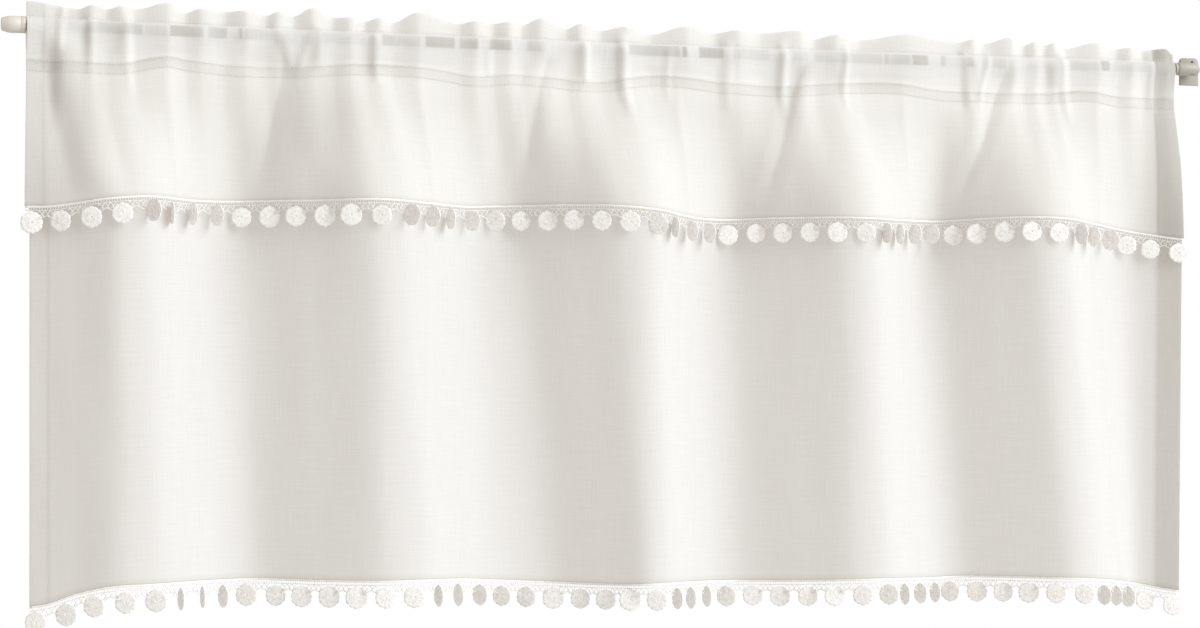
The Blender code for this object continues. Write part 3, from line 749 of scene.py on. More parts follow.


# %% [markdown]
# ### What shows through
# Through sheer cloth one sees the rod, the flap in the seam band and the turned hems. The open weave
# shows them truly, but two thin layers of it lose most of that in a short render. So each point also
# keeps a mark from 0 to 1 for what lies close behind it, and the finish greys the cloth by it. A thin
# grey line is also drawn along the lower edge, where the lace is sewn on. A single layer throws back
# less light than the doubled pocket, so it has a small mark too. Two marks are painted shade: over the
# rod the mark also paints the rod's shadow where it stops the light from behind, and the pleat marks
# paint the shade in the deep pleats.

# %% Marks of layers and hems
HEADER_MARK, POCKET_MARK, ONE_LAYER_MARK = 0.2, 0.1, 0.22
BAND_MARK, BAND_EDGE_MARK = 0.12, 0.24
BAND_LEAST = 0.35           # how much of its mark the seam band has away from the pressed creases
PRESSED, PRESSED_HALF = (118, 350, 655, 885, 1105), 34.0
# the right hem's larger mark is the doubled hem plus painted shade at the cloth's right end
SIDE_HEM_AND_SHADE_MARKS, SIDE_TOP_MARK = (0.06, 0.34), 0.24
TURNED_EDGE_MARK, LACE_EDGE_MARK = 0.18, 0.75
FLOUNCE_MARK = 0.15         # the flounce hangs over the panel's cloth
SOFT_EDGE = 1.5             # mm over which the seam band starts and ends


def bump_at(distance, half):
    """1 at no distance, falling to nothing over about twice the half width."""
    return np.exp(-(distance / half) ** 2)


def band_marks(x, below):
    """The flap shows between the pocket's seam and its own edge, clearest at the pressed creases."""
    band = smoothstep(below / SOFT_EDGE) * smoothstep((FLAP_BELOW_SEAM + SOFT_EDGE - below) / SOFT_EDGE)
    pressed = np.max([bump_at(x - middle, PRESSED_HALF) for middle in PRESSED], axis=0)
    marks = BAND_MARK * band + BAND_EDGE_MARK * bump_at(below - 0.6, 1.3)
    return marks * (BAND_LEAST + (1 - BAND_LEAST) * pressed)


def side_hem_and_shade_marks(height, along):
    """The turned side hems, with painted shade added on the right one, and a line along the inner edge of
    each.
    """
    right_hem = along[-1] - 2 * SIDE_HEMS[1]
    at_right = SIDE_HEM_AND_SHADE_MARKS[1] + SIDE_TOP_MARK * smoothstep((height + 40) / 50)
    marks = np.where(along < SIDE_HEMS[0], SIDE_HEM_AND_SHADE_MARKS[0], 0.0) + np.where(along > right_hem, at_right, 0.0)
    return marks + TURNED_EDGE_MARK * (bump_at(along - SIDE_HEMS[0], 1.8) + bump_at(along - right_hem, 1.8))


# %% Marks of the rod with its painted shadow, and of painted shade in pleats
ROD_SHADOW_MARK = 0.6
ROD_SHOWS = (-5.9, 6.1)     # heights between which the rod and its painted shadow show
ROD_SHADOW_BANDS = (
    # Painted rod shadow where the cloth lies close on it: from x, to x, and how close at either end.
    (56, 112, 0.3, 0.55), (112, 135, 0.25, 0.3), (136, 171, 0.95, 0.45), (175, 194, 0.45, 0.6),
    (204, 209, 0.8, 0.8), (209, 237, 0.5, 0.15), (288, 332, 0.15, 0.15), (347, 361, 0.6, 0.5),
    (361, 389, 0.35, 0.3), (391, 423, 0.95, 0.65), (427, 448, 0.5, 0.8), (458, 483, 1.0, 0.55),
    (497, 518, 0.45, 0.2), (604, 660, 0.5, 0.65), (661, 667, 1.0, 0.9), (679, 707, 0.9, 0.75),
    (717, 758, 0.3, 0.2), (781, 799, 0.25, 0.2), (806, 883, 0.25, 0.35), (884, 891, 0.6, 0.5),
    (892, 914, 0.45, 0.6), (915, 934, 0.95, 0.7), (947, 955, 0.7, 0.3), (976, 986, 0.5, 0.5),
    (1004, 1021, 0.25, 0.25), (1096, 1129, 0.35, 0.3), (1130, 1143, 0.9, 0.75),
    (1146, 1186, 0.15, 0.3),
)
PLEAT_SHADES = (
    # Painted shade in the deep pleats: x and height at the top and at the foot, half width, mark.
    (28, -10, 26, -115, 6, 0.45), (46, 12, 58, -165, 14, 0.24), (56, 8, 57, -46, 4, 0.22),
    (90, 6, 88, -40, 5, 0.18), (226, -8, 226, -38, 12, 0.15), (246, 8, 257, -42, 5, 0.45),
    (256, -6, 262, -150, 13, 0.36), (282, 16, 281, -44, 5, 0.42), (300, -12, 300, -130, 22, 0.2),
    (337, 10, 339, -45, 5, 0.15), (551, 10, 553, -45, 5, 0.22), (592, 10, 595, -60, 6, 0.2),
    (766, 10, 768, -60, 6, 0.22), (799, 4, 766, -100, 8, 0.36), (838, 10, 834, -50, 5, 0.2),
    (981, 10, 988, -50, 6, 0.24), (1029, 10, 1029, -40, 5, 0.2), (1069, 8, 1079, -36, 6, 0.32),
)


def rod_and_shadow_marks(x, height):
    """The rod where the cloth bears on it, with its painted shadow there."""
    steps = []
    for left, right, at_left, at_right in ROD_SHADOW_BANDS:
        steps += [(left, 0), (left + 1.2, at_left), (right - 1.2, at_right), (right, 0)]
    close = np.interp(x, *np.array(steps, float).T)
    on_rod = smoothstep((height - ROD_SHOWS[0]) / 1.2) * smoothstep((ROD_SHOWS[1] - height) / 0.9)
    return ROD_SHADOW_MARK * close * on_rod


def pleat_shade_marks(x, height):
    """Painted shade in the deep pleats, which fades out towards their foot."""
    marks = np.zeros(x.shape)
    for *ends, half, mark in PLEAT_SHADES:
        down, beside = line_place(x, height, *ends)
        marks += mark * bump_at(beside, half) * smoothstep(down / 0.25) * smoothstep((1 - down) / 0.5)
    return marks


def layer_and_shade_marks(points, along):
    """How much each point is dulled by all that lies behind it, with painted shade over the rod and in
    the pleats. along is each column's way from the left edge."""
    x, z = points[..., 0], points[..., 2]
    below = np.interp(x, HEADER_X, seam_height()) - z
    height = z - rod_height(x)
    marks = band_marks(x, below) + side_hem_and_shade_marks(height, along)
    marks += POCKET_MARK + (ONE_LAYER_MARK - POCKET_MARK) * smoothstep((below + 1) / 3)
    marks += (HEADER_MARK - POCKET_MARK) * smoothstep(height - STITCH_Z + 1)
    marks += LACE_EDGE_MARK * bump_at(z - z[0], 1.1)
    return marks + pleat_shade_marks(x, height) + rod_and_shadow_marks(x, height)


print(len(ROD_SHADOW_BANDS), "places of the rod and its painted shadow,", len(PLEAT_SHADES), "pleats with painted shade")

# %% [markdown]
# ### Shade on the panel
# The flounce keeps light off the panel just below its hem, most on the sides of the folds that face
# left. At the left end the panel turns away from the room's light. The render's soft light is too even
# to show this, so it is added to the marks.

# %% Shade on the panel
SHADE_MARK, SHADE_REACH = 0.2, 40.0
SHADE_START = 30                            # mm above the flounce's hem where its shade begins
LEFT_SHADE, LEFT_REACH = 0.22, (68, 96)     # the left shade is full up to the first x, gone at the second


def panel_shade(points):
    """How much the panel lies in shade: below the flounce, on the sides of the folds that face left,
    and at its left end."""
    turn = np.arctan2(np.gradient(points[..., 1], axis=1), np.abs(np.gradient(points[..., 0], axis=1)))
    below = -FLOUNCE_HEM - points[..., 2]
    shade = SHADE_MARK * smoothstep(0.3 - turn) * smoothstep((below + SHADE_START) / SHADE_START)
    at_left = smoothstep((LEFT_REACH[1] - points[..., 0]) / (LEFT_REACH[1] - LEFT_REACH[0]))
    at_left *= 0.35 + 0.65 * smoothstep((points[..., 0] - SIDE_HEMS[0]) / 10)
    return shade * np.exp(-np.maximum(below, 0.0) / SHADE_REACH) + LEFT_SHADE * at_left


# %% [markdown]
# ### From points to cloth
# Four neighbouring points make one face. Each point's UV place is its place on the flat cut cloth in
# metres, so the weave keeps its size wherever the cloth is gathered.

# %% Build a piece from points


def new_piece(name, points, faces, material):
    """A smooth shaded piece from points in mm and the point numbers of its faces."""
    mesh = bpy.data.meshes.new(name)
    mesh.from_pydata(in_frame(points).reshape(-1, 3).tolist(), [], faces)
    mesh.shade_smooth()
    mesh.materials.append(material)
    piece = bpy.data.objects.new(name, mesh)
    scene.collection.objects.link(piece)
    return piece


def grid_faces(rows, columns):
    """The four-cornered faces between points that stand in rows and columns."""
    index = np.arange(rows * columns).reshape(rows, columns)
    corners = np.stack([index[:-1, :-1], index[:-1, 1:], index[1:, 1:], index[1:, :-1]], axis=-1)
    return corners.reshape(-1, 4)


def cloth_mesh(name, points, hem_columns, dulling_and_painted_shade, material):
    """A cloth of one layer from its points by row and column, with UVs in metres of cut cloth."""
    corners = grid_faces(*points.shape[:2])
    across = running_sum(np.linalg.norm(np.diff(points, axis=1), axis=-1).mean(axis=0))
    up = running_sum(np.linalg.norm(np.diff(points, axis=0), axis=-1).mean(axis=1))
    u, v = np.meshgrid((across - across[hem_columns]) * MM, up * MM)
    cloth = new_piece(name, points, corners.tolist(), material)
    layer = cloth.data.uv_layers.new(name="UVMap")
    flat = np.stack([u, v], axis=-1).reshape(-1, 2)[corners.ravel()]
    layer.data.foreach_set("uv", flat.astype(np.float32).ravel())
    # the marks hold dulling by what lies behind the cloth, and painted shade on the panel, over the rod and
    # in the pleats
    marks = np.clip(dulling_and_painted_shade + layer_and_shade_marks(points, u[0] / MM), 0.0, 1.0)
    layers_and_painted_shade = cloth.data.attributes.new("layers_and_painted_shade", "FLOAT", "POINT")
    layers_and_painted_shade.data.foreach_set("value", marks.astype(np.float32).ravel())
    print(name, len(corners) * 2, "triangles,", round(across[-1]), "x", round(up[-1]), "mm of cloth")
    return cloth


# %% Make the two cloths
PANEL_FOLLOW, FLOUNCE_FOLLOW = 0.3, 1.0     # the flounce keeps its creases down to the hem

panel_points, header_turn = panel_rows()
panel_points = creased(smooth_rows(panel_points, header_turn), PANEL_FOLLOW)
flounce_points = creased(smooth_rows(flounce_rows()), FLOUNCE_FOLLOW)
panel_grid, panel_left = turned_hems(panel_points)
flounce_grid, flounce_left = turned_hems(flounce_points)
panel_cloth = cloth_mesh("panel_voile", panel_grid, panel_left, panel_shade(panel_grid), voile)
over_panel = FLOUNCE_MARK * smoothstep((SEAM_Z - flounce_grid[..., 2]) / 40)
flounce_cloth = cloth_mesh("flounce_voile", flounce_grid, flounce_left, over_panel, voile)

# %% [markdown]
# ## Lace band
# The band is sewn to the hem's edge: a narrow tape, a row of small holes under it, and between the
# medallions a net of crossed threads whose lower edge is a cord that rises in the middle of each gap.
# Each thread is a thin tube of few sides along its own line, made in code because there are hundreds.

# %% Thread tubes
THREAD_SIDES = 4


def tube_parts(line, radius):
    """Vertices in mm and faces of a thin thread along a line, closed at both ends."""
    line = np.asarray(line, float)
    way = np.gradient(line, axis=0)
    way /= np.linalg.norm(way, axis=1)[:, None]
    side = np.cross(way, (0.1, -1.0, 0.17))
    side /= np.linalg.norm(side, axis=1)[:, None]
    up = np.cross(side, way)
    turns = np.arange(THREAD_SIDES) / THREAD_SIDES * 2 * math.pi
    rings = line[:, None] + radius * (
        np.cos(turns)[None, :, None] * side[:, None] + np.sin(turns)[None, :, None] * up[:, None])
    faces = []
    for k in range(len(line) - 1):
        for s in range(THREAD_SIDES):
            a, b = k * THREAD_SIDES + s, k * THREAD_SIDES + (s + 1) % THREAD_SIDES
            faces.append((a, b, b + THREAD_SIDES, a + THREAD_SIDES))
    last = (len(line) - 1) * THREAD_SIDES
    faces.append(tuple(reversed(range(THREAD_SIDES))))
    faces.append(tuple(last + s for s in range(THREAD_SIDES)))
    return rings.reshape(-1, 3), faces


def thread_piece(name, lines, material):
    """One piece from many threads, each a line and its radius in mm."""
    points, faces, first = [], [], 0
    for line, radius in lines:
        rings, sides = tube_parts(line, radius)
        points.append(rings)
        faces += [tuple(first + corner for corner in side) for side in sides]
        first += len(rings)
    piece = new_piece(name, np.concatenate(points), faces, material)
    made = bmesh.new()
    made.from_mesh(piece.data)
    bmesh.ops.recalc_face_normals(made, faces=made.faces)
    made.to_mesh(piece.data)
    made.free()
    print(name, len(lines), "threads")
    return piece


# %% Line of a hem
MEDALLIONS = 49
FIRST_MEDALLION = 6.0
DOWN = np.array([0.0, 0.0, -1.0])


def hem_reader(line, forward):
    """A function that reads the hem's line at a length along it and a depth below it, in mm, so much
    in front of the cloth."""
    x, y = shifted(line[:, 0], line[:, 1], forward)
    line = np.stack([x, y, line[:, 2]], axis=-1)
    run = arc_length(*line.T)

    def at(length, depth):
        length, depth = np.broadcast_arrays(np.asarray(length, float), np.asarray(depth, float))
        place = np.stack([np.interp(length, run, side) for side in line.T], axis=-1)
        return place + depth[..., None] * DOWN

    return at, run[-1]


# %% Tape on the hem's edge
TAPE_TOP, TAPE_FOOT = 0.0, 1.5        # depths below the hem's edge
TAPE_THICKNESS = 0.35
TAPE_STATIONS, TAPE_END = 500, 0.3    # points along the tape, and how far it stays off the side edges


def work_on(*pieces):
    """Make these pieces alone selected and the first one active, as clicks on them would."""
    bpy.ops.object.select_all(action="DESELECT")
    for piece in pieces:
        piece.select_set(True)
    bpy.context.view_layer.objects.active = pieces[0]


def tape_piece(name, at, length, material):
    """The narrow woven tape on the hem's edge, with real thickness."""
    stations = np.linspace(TAPE_END, length - TAPE_END, TAPE_STATIONS)
    depths = np.array([TAPE_FOOT, (TAPE_TOP + TAPE_FOOT) / 2, TAPE_TOP])
    points = np.array([at(stations, depth) for depth in depths])
    tape = new_piece(name, points, grid_faces(*points.shape[:2]).tolist(), material)
    thickness = tape.modifiers.new("Thickness", "SOLIDIFY")
    thickness.thickness = TAPE_THICKNESS * MM
    thickness.offset = 0.0
    work_on(tape)
    bpy.ops.object.modifier_apply(modifier="Thickness")
    return tape


# %% Threads of the band
UPPER_CORD, LOWER_CORD, HOLE_BAR, ARCH_CORD, NET_THREAD = 0.32, 0.36, 0.3, 0.42, 0.38     # radii
HOLES_FOOT, HOLE_PITCH = 4.6, 2.6     # depth of the row of holes, and their distance
NET_PITCH = 5.2
NET_SLOPE = 1.4                       # depth gained for each mm along the band
NET_OVERLAP = 3.2                     # crossed threads start this far outside their gap
ARCH_FOOT, ARCH_TOP = 13.5, 9.6       # depths of the net's lower cord beside a medallion and between two
MEDALLION_HALF, NET_TUCKED = 9.0, 3.0     # the net ends this far behind a medallion's rim
CORD_STATIONS, CORD_END = 450, 0.5


def net_lines(at, middles, length):
    """The threads of the band: two cords along it, the bars between the holes and the crossed net."""
    lines = []
    stations = np.linspace(CORD_END, length - CORD_END, CORD_STATIONS)
    lines.append((at(stations, TAPE_FOOT + 0.1), UPPER_CORD))
    lines.append((at(stations, HOLES_FOOT), LOWER_CORD))
    for place in np.arange(1.0, length - 1.0, HOLE_PITCH):
        lines.append((at([place, place], [TAPE_FOOT, HOLES_FOOT]), HOLE_BAR))
    for left, right in zip(middles[:-1], middles[1:]):
        start, end = left + MEDALLION_HALF - NET_TUCKED, right - MEDALLION_HALF + NET_TUCKED
        gap = np.linspace(start, end, 9)
        share = np.abs((gap - start) / (end - start) * 2 - 1)
        arch = ARCH_TOP + (ARCH_FOOT - ARCH_TOP) * share
        lines.append((at(gap, arch), ARCH_CORD))
        for first in np.arange(start - NET_OVERLAP, end + NET_OVERLAP, NET_PITCH):
            for way in (-1.0, 1.0):
                along = first + way * np.linspace(0.0, (ARCH_FOOT - HOLES_FOOT) / NET_SLOPE, 25)
                depth = HOLES_FOOT + np.abs(along - first) * NET_SLOPE
                floor_depth = np.interp(along, gap, arch, left=0.0, right=0.0)
                inside = (depth <= floor_depth) & (along > start) & (along < end)
                if inside.sum() > 3:
                    along = along[inside][[0, -1]]
                    depth = depth[inside][[0, -1]]
                    lines.append((at(along, depth), NET_THREAD))
    return lines


# %% [markdown]
# ## Medallions
# Each medallion is a soft disc crocheted in rounds from a small ring. The rounds stand up in turn and the
# outermost ends in twelve scallops, every second one a little larger. One is modelled from a circle whose
# edge is extruded and scaled round by round, and is then copied along the hem, each copy with its own
# small turn.

# %% Model one medallion
HOLE_RADIUS = 0.45
SCALLOPS = 12
ROUNDS = (
    # radius, how far the round stands forward, mm
    (1.9, 0.45), (2.9, -0.05), (4.5, 0.40), (5.7, -0.05), (7.2, 0.35), (8.7, 0.0), (10.0, 0.30),
)
RIM_FROM = 9.7                        # only the outermost round lies further out than this
LARGE_SCALLOP, SMALL_SCALLOP, DIP = 1.065, 1.035, 0.975     # what the rim's radius is multiplied by
SPOKES_FROM, SPOKES_TO, SPOKE_RAISE = 4.0, 9.0, 0.3
YARN_THICKNESS = 0.8


def select_where(piece, wanted):
    """In edit mode, select the vertices whose place in mm passes a test."""
    made = bmesh.from_edit_mesh(piece.data)
    made.select_mode = {"VERT"}
    for vertex in made.verts:
        vertex.select = bool(wanted(vertex.co / MM))
    made.select_flush_mode()
    bmesh.update_edit_mesh(piece.data)


def scallop_turn(place):
    """The angle of a place from the foot of the medallion, in scallops."""
    return math.atan2(place.x, -place.z) / (2 * math.pi) * SCALLOPS


def off_scallop(place):
    """How far a place lies from the middle of its scallop, 0.5 in the dip between two."""
    turn = scallop_turn(place)
    return abs(turn - round(turn))


def scale_wider(wider):
    """In edit mode, scale what is selected away from the medallion's middle."""
    bpy.ops.transform.resize(value=(wider, 1.0, wider), center_override=(0.0, 0.0, 0.0))


def crochet_medallion():
    """One medallion, in the plane of x and z, with its middle at the origin."""
    bpy.ops.object.select_all(action="DESELECT")
    bpy.ops.mesh.primitive_circle_add(vertices=4 * SCALLOPS, radius=HOLE_RADIUS * MM,
                                      rotation=(math.pi / 2, 0, 0))
    medallion = bpy.context.object
    medallion.name = "medallion"
    bpy.ops.object.transform_apply(location=True, rotation=True, scale=True)
    bpy.ops.object.mode_set(mode="EDIT")
    bpy.ops.mesh.select_all(action="SELECT")
    radius, forward = HOLE_RADIUS, 0.0
    for next_radius, next_forward in ROUNDS:
        step = (0.0, (forward - next_forward) * MM, 0.0)
        bpy.ops.mesh.extrude_region_move(TRANSFORM_OT_translate={"value": step})
        scale_wider(next_radius / radius)
        radius, forward = next_radius, next_forward
    for odd, wider in ((0, LARGE_SCALLOP), (1, SMALL_SCALLOP)):
        select_where(medallion, lambda co: co.length > RIM_FROM and off_scallop(co) < 0.3
                     and round(scallop_turn(co)) % 2 == odd)
        scale_wider(wider)
    select_where(medallion, lambda co: co.length > RIM_FROM and abs(off_scallop(co) - 0.5) < 0.1)
    scale_wider(DIP)
    select_where(medallion, lambda co: SPOKES_FROM < co.length < SPOKES_TO and co.y < 0
                 and off_scallop(co) < 0.1)
    bpy.ops.transform.translate(value=(0.0, -SPOKE_RAISE * MM, 0.0))
    bpy.ops.object.mode_set(mode="OBJECT")
    yarn = medallion.modifiers.new("Yarn", "SOLIDIFY")
    yarn.thickness = YARN_THICKNESS * MM
    yarn.offset = 0.0
    bpy.ops.object.modifier_apply(modifier="Yarn")
    bpy.ops.object.shade_smooth()
    medallion.data.materials.append(cotton)
    print("one medallion:", len(medallion.data.polygons), "faces")
    return medallion


# %% [markdown]
# ### The row of medallions
# They hang loose, so they turn to the room rather than follow the hem, a little to the left as in the
# photograph. Where the hem runs steeply back they stand edge-on. The flounce's would cut into the panel
# there, so they lean away from it.

# %% Hang the copies
MEDALLION_TOP, MEDALLION_RADIUS = 5.8, 10.5
TWIST, TILT = 9.0, 5.0                      # the most that a copy turns and swings by chance, degrees
LEAST_SIZE, MOST_SIZE = 0.96, 1.04
FACING_ROOM, FACING_LEFT = -20.0, -80.0     # degrees, on the flat of the hem and where it runs back
FLAT_SLOPE, SLOPE_SPAN = 8, 34              # the hem is flat up to 8 degrees and steep from 42


def medallion_row(name, medallion, at, middles, room_behind, seed):
    """Copies of the medallion along a hem, each with its own mesh and turn, joined into one piece.
    One that would touch what hangs behind it leans away."""
    chance = random.Random(seed)
    copies = []
    for middle in middles:
        place = at(middle, MEDALLION_TOP + chance.uniform(-0.5, 0.5))
        ahead, behind = at(middle + 4.0, 0.0), at(middle - 4.0, 0.0)
        slope = math.degrees(math.atan2(ahead[1] - behind[1], ahead[0] - behind[0]))
        steep = float(smoothstep((slope - FLAT_SLOPE) / SLOPE_SPAN))
        facing = FACING_ROOM + (FACING_LEFT - FACING_ROOM) * steep + chance.uniform(-TWIST, TWIST)
        reach = MEDALLION_RADIUS * math.sin(math.radians(slope - facing))
        lean = math.degrees(max(0.0, abs(reach) - room_behind) / MEDALLION_RADIUS)
        swing = chance.uniform(-TILT, TILT) - math.copysign(lean, reach)
        turn = Matrix.Rotation(math.radians(facing), 4, "Z") @ Matrix.Rotation(math.radians(swing), 4, "Y")
        size = chance.uniform(LEAST_SIZE, MOST_SIZE)
        hang = Matrix.Translation((0.0, 0.0, -MEDALLION_RADIUS * MM)) @ Matrix.Scale(size, 4)
        copy = medallion.copy()
        copy.data = medallion.data.copy()
        copy.data.transform(Matrix.Translation(Vector(in_frame(place))) @ turn @ hang)
        scene.collection.objects.link(copy)
        copies.append(copy)
    work_on(*copies)
    bpy.ops.object.join()
    copies[0].name = name
    print(name, len(copies), "medallions")
    return copies[0]


# %% [markdown]
# ### Both trims
# The same tape, net and row of medallions go on each hem. The trim hangs from the hem's lower edge, and
# its threads lie 0.7 mm in front of the cloth.

# %% Sew both trims
TRIM_FORWARD = 0.7
TRIMS = (
    # name, the cloth's points, free room behind the hem in mm, seed of the small turns
    ("panel", panel_points, 99.0, 3),
    ("flounce", flounce_points, 5.0, 8),
)

medallion = crochet_medallion()
trim_pieces = {}
for cloth_name, points, room_behind, seed in TRIMS:
    at, length = hem_reader(points[0], TRIM_FORWARD)
    middles = np.linspace(FIRST_MEDALLION, length - FIRST_MEDALLION, MEDALLIONS)
    trim_pieces[cloth_name] = [
        tape_piece(cloth_name + "_tape", at, length, cotton_band),
        thread_piece(cloth_name + "_net", net_lines(at, middles, length), cotton_band),
        medallion_row(cloth_name + "_medallions", medallion, at, middles, room_behind, seed),
    ]
bpy.data.objects.remove(medallion)

# %% [markdown]
# ## Stitches
# A machine seam holds the layers together above the rod, and two more close the pocket below it. Sewing
# thread lies on the cloth in short dashes. A real stitch is 2.5 mm long and a quarter of a millimetre
# thick; these are drawn twice as thick so that the seams can be seen.

# %% Sew the seams
STITCH_LENGTH, STITCH_GAP = 2.4, 1.2
STITCH_RADIUS, STITCH_FORWARD = 0.25, 0.35
FLAP_STITCH = 1.0           # the lowest seam runs this far above the flap's edge


def seam_lines(points, row_number, forward):
    """The dashes of a seam along one row of a cloth."""
    at, length = hem_reader(points[row_number], forward)
    lines = []
    for start in np.arange(2.0, length - 4.0, STITCH_LENGTH + STITCH_GAP):
        lines.append((at([start, start + STITCH_LENGTH / 2, start + STITCH_LENGTH], 0.0), STITCH_RADIUS))
    return lines


def row_near(points, height):
    """The row of a cloth's front whose mean height above the rod's axis is nearest to one in mm."""
    heights = (points[:, :, 2] - rod_height(HEADER_X)).mean(axis=1)
    return int(np.argmin(np.abs(heights - height)))


seams = []
for height in (STITCH_Z, SEAM_Z, SEAM_Z - FLAP_BELOW_SEAM + FLAP_STITCH):
    seams += seam_lines(flounce_points, row_near(flounce_points, height), STITCH_FORWARD)
stitches = thread_piece("seam_stitches", seams, sewing_thread)

# %% [markdown]
# ## Rod
# The rod is a plain tube 10.5 mm thick that sags 3 mm under the cloth. It starts as a circle at the
# left end, whose edge is extruded along the rod in short steps that follow the sag.

# %% Extrude the rod
ROD_STEPS = 24


def extruded_rings(name, rings, sides):
    """A closed piece from a circle extruded from ring to ring. Each ring is x, z of its middle and its
    radius, in mm from the rod's left end; the first and the last are closed with a face."""
    x, z, radius = rings[0]
    bpy.ops.object.select_all(action="DESELECT")
    bpy.ops.mesh.primitive_circle_add(vertices=sides, radius=radius * MM, location=in_frame([x, 0.0, z]),
                                      rotation=(0.0, math.pi / 2, 0.0))
    piece = bpy.context.object
    piece.name = name
    bpy.ops.object.transform_apply(location=True, rotation=True, scale=True)
    bpy.ops.object.mode_set(mode="EDIT")
    bpy.ops.mesh.select_all(action="SELECT")
    for next_x, next_z, next_radius in rings[1:]:
        step = ((next_x - x) * MM, 0.0, (next_z - z) * MM)
        bpy.ops.mesh.extrude_region_move(TRANSFORM_OT_translate={"value": step})
        wider = next_radius / radius
        middle = tuple(in_frame([next_x, 0.0, next_z]))
        bpy.ops.transform.resize(value=(1.0, wider, wider), center_override=middle)
        x, z, radius = next_x, next_z, next_radius
    bpy.ops.mesh.select_all(action="SELECT")
    bpy.ops.mesh.fill_holes(sides=0)
    bpy.ops.mesh.select_all(action="SELECT")
    bpy.ops.mesh.normals_make_consistent(inside=False)
    bpy.ops.object.mode_set(mode="OBJECT")
    bpy.ops.object.shade_smooth_by_angle(angle=math.radians(35))
    print(name, len(piece.data.polygons), "faces")
    return piece


rod_rings = [(x, float(rod_height(x)), ROD_RADIUS) for x in np.linspace(ROD_LEFT, ROD_RIGHT, ROD_STEPS + 1)]
rod_tube = extruded_rings("rod_tube", rod_rings, 32)
rod_tube.data.materials.append(enamel)

# %% [markdown]
# ## End cap and bracket
# A plastic cup closes the rod on the left and bears on the side of the window. On the right a barrel
# holds the rod's end, on a small plate that is screwed to the wall. Both are turned shapes, so both
# start from a circle that is extruded and scaled along their profile and then comes back inside as the
# bore.

# %% Turn the cap
BORE_RADIUS = 5.6
END_PLAY = 0.4
CAP_PROFILE = (
    # x, radius
    (-24.0, 5.7), (-23.7, 6.2), (-21.5, 6.9), (-19.0, 7.7), (-17.2, 8.1), (-15.0, 8.3), (-6.6, 8.3),
    (-6.3, 8.1), (-5.7, 8.1), (-5.4, 8.3), (-1.8, 8.3), (-1.1, 8.0), (-0.8, 7.4), (-0.8, 5.9),
    (-1.2, BORE_RADIUS), (ROD_LEFT - END_PLAY, BORE_RADIUS),
)
end_cap = extruded_rings("end_cap_cup", [(x, 0.0, radius) for x, radius in CAP_PROFILE], 48)
end_cap.data.materials.append(cap_plastic)

# %% Turn the barrel
BRACKET_X = 1246.0
BARREL_PROFILE = (
    # x from the middle of the bracket, radius
    (4.8, 3.9), (4.6, 4.4), (3.4, 4.4), (3.0, 5.9), (2.4, 6.7), (1.6, 7.1), (-19.0, 7.1), (-19.6, 6.9),
    (-20.2, 6.3), (-20.8, 5.9), (-22.0, 5.9), (-22.6, 6.3), (-23.6, 6.4), (-24.0, 6.1),
    (-24.0, BORE_RADIUS), (ROD_RIGHT + END_PLAY - BRACKET_X, BORE_RADIUS),
)
barrel = extruded_rings("bracket_body", [(BRACKET_X + x, 0.0, radius) for x, radius in BARREL_PROFILE], 48)

# %% [markdown]
# ### Plate, arm and set screw
# The plate starts as a cube. Its upper corners and its front edge are bevelled and the screw hole is
# drilled with a boolean. The drill stops 0.3 mm before the wall side, because the hole looks dark in the
# photograph and must not let light through from behind. A short arm carries the barrel, and a small set
# screw holds the rod.

# %% Shape the plate
PLATE_SIZE = (22.0, 3.0, 30.0)
PLATE_CORNER, PLATE_EDGE = 4.5, 0.7
SCREW_HOLE_RADIUS, SCREW_HOLE_X, SCREW_HOLE_Z = 1.6, 3.5, 10.2
DRILL_LENGTH, DRILL_MIDDLE = 9, -4.8        # from y = -9.3 to y = -0.3
NEAR = 0.1                                  # an edge this close to a face lies in it


def block(name, middle, size):
    """A box in mm in the model's frame, ready to be shaped."""
    bpy.ops.object.select_all(action="DESELECT")
    bpy.ops.mesh.primitive_cube_add(size=1.0, location=[v * MM for v in middle], scale=[v * MM for v in size])
    made = bpy.context.object
    made.name = name
    bpy.ops.object.transform_apply(location=True, rotation=True, scale=True)
    return made


def select_edges(piece, wanted):
    """In edit mode, select the edges whose two ends in mm pass a test."""
    made = bmesh.from_edit_mesh(piece.data)
    made.select_mode = {"EDGE"}
    for edge in made.edges:
        edge.select = bool(wanted(edge.verts[0].co / MM, edge.verts[1].co / MM))
    made.select_flush_mode()
    bmesh.update_edit_mesh(piece.data)


plate = block("plate", (0.0, -PLATE_SIZE[1] / 2, 0.0), PLATE_SIZE)
bpy.ops.object.mode_set(mode="EDIT")
bpy.ops.mesh.select_mode(type="EDGE")
plate_top, plate_front = PLATE_SIZE[2] / 2 - NEAR, NEAR - PLATE_SIZE[1]
select_edges(plate, lambda a, b: min(a.z, b.z) > plate_top and abs(a.y - b.y) > 1.0)
bpy.ops.mesh.bevel(offset=PLATE_CORNER * MM, segments=6)
select_edges(plate, lambda a, b: max(a.y, b.y) < plate_front)
bpy.ops.mesh.bevel(offset=PLATE_EDGE * MM, segments=3)
bpy.ops.object.mode_set(mode="OBJECT")
bpy.ops.object.select_all(action="DESELECT")
bpy.ops.mesh.primitive_cylinder_add(vertices=32, radius=SCREW_HOLE_RADIUS * MM, depth=DRILL_LENGTH * MM,
                                    location=(SCREW_HOLE_X * MM, DRILL_MIDDLE * MM, SCREW_HOLE_Z * MM),
                                    rotation=(math.pi / 2, 0.0, 0.0))
drill = bpy.context.object
hole = plate.modifiers.new("Hole", "BOOLEAN")
hole.operation = "DIFFERENCE"
hole.object = drill
work_on(plate)
bpy.ops.object.modifier_apply(modifier="Hole")
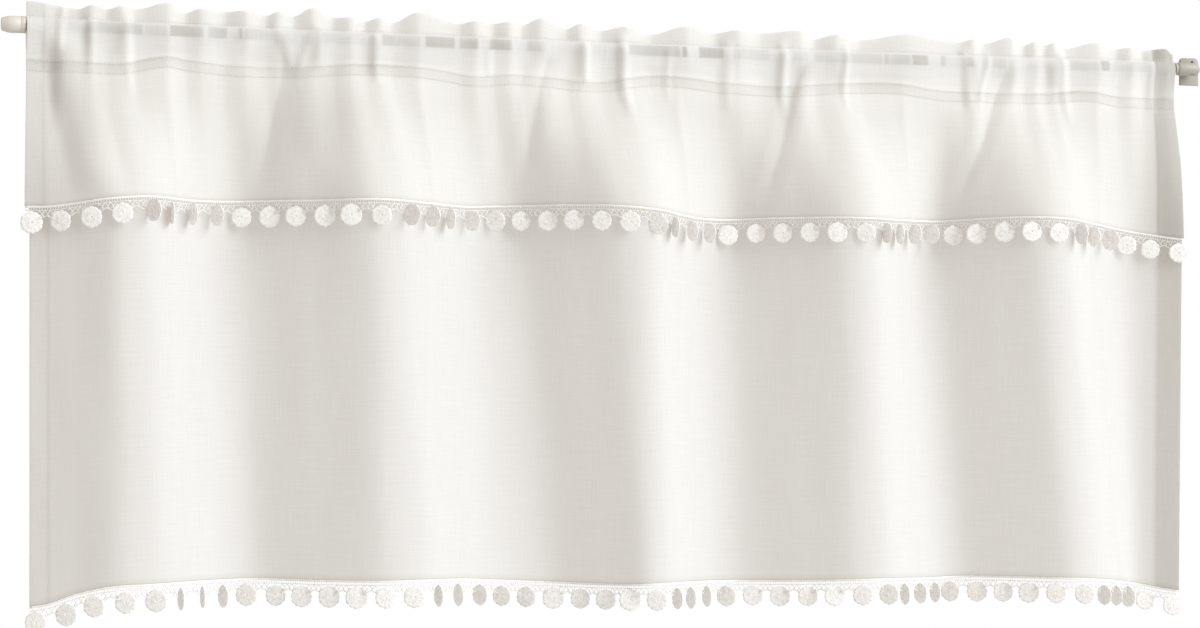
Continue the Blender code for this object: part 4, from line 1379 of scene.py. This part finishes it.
bpy.data.objects.remove(drill)
print("plate", len(plate.data.polygons), "faces")

# %% Join the bracket
ARM_PLACE, ARM_SIZE, ARM_EDGE = (-5.0, -5.2, 1.0), (8.0, 6.0, 10.0), 1.2
SCREW_RINGS = ((0.0, 0.0, 1.9), (0.6, 0.0, 1.9), (0.9, 0.0, 1.6), (0.9, 0.0, 1.0), (0.3, 0.0, 0.9))
SCREW_PLACE = (-3.5, -18.0, -4.5)
SCREW_TURN = (54.0, -90.0)             # round x and z: it points down to the room

arm = block("arm", ARM_PLACE, ARM_SIZE)
bpy.ops.object.mode_set(mode="EDIT")
select_edges(arm, lambda a, b: abs(a.y - b.y) > 1.0)
bpy.ops.mesh.bevel(offset=ARM_EDGE * MM, segments=3)
bpy.ops.object.mode_set(mode="OBJECT")
set_screw = extruded_rings("set_screw", SCREW_RINGS, 24)
set_screw.data.transform(Matrix.Translation(-Vector(in_frame([0.0, 0.0, 0.0]))))
lean, swing = (Matrix.Rotation(math.radians(turn), 4, axis) for turn, axis in zip(SCREW_TURN, "XZ"))
set_screw.data.transform(Matrix.Translation(Vector(SCREW_PLACE) * MM) @ lean @ swing)
work_on(barrel, plate, arm, set_screw)
bpy.ops.object.join()
bracket = barrel
bracket.data.materials.append(bracket_plastic_painted_shade)
bpy.ops.object.shade_smooth_by_angle(angle=math.radians(35))
print("bracket", len(bracket.data.polygons), "faces")

# %% [markdown]
# ## The pieces in place
# Each piece rides on the root body, and the plain solid that it stands for is hidden. The table also
# lists a finish of the record for each piece.

handover = (
    (panel_cloth, "panel", "voile"),
    (flounce_cloth, "flounce", "voile"),
    *((piece, "panel_trim", "lace") for piece in trim_pieces["panel"]),
    *((piece, "flounce_trim", "lace") for piece in trim_pieces["flounce"]),
    (stitches, "flounce", "lace"),
    (rod_tube, "rod", "rod_enamel"),
    (end_cap, "end_cap", "fittings"),
    (bracket, "bracket", "fittings"),
)
for piece, node, slot in handover:
    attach(piece, "root")
    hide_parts(node)
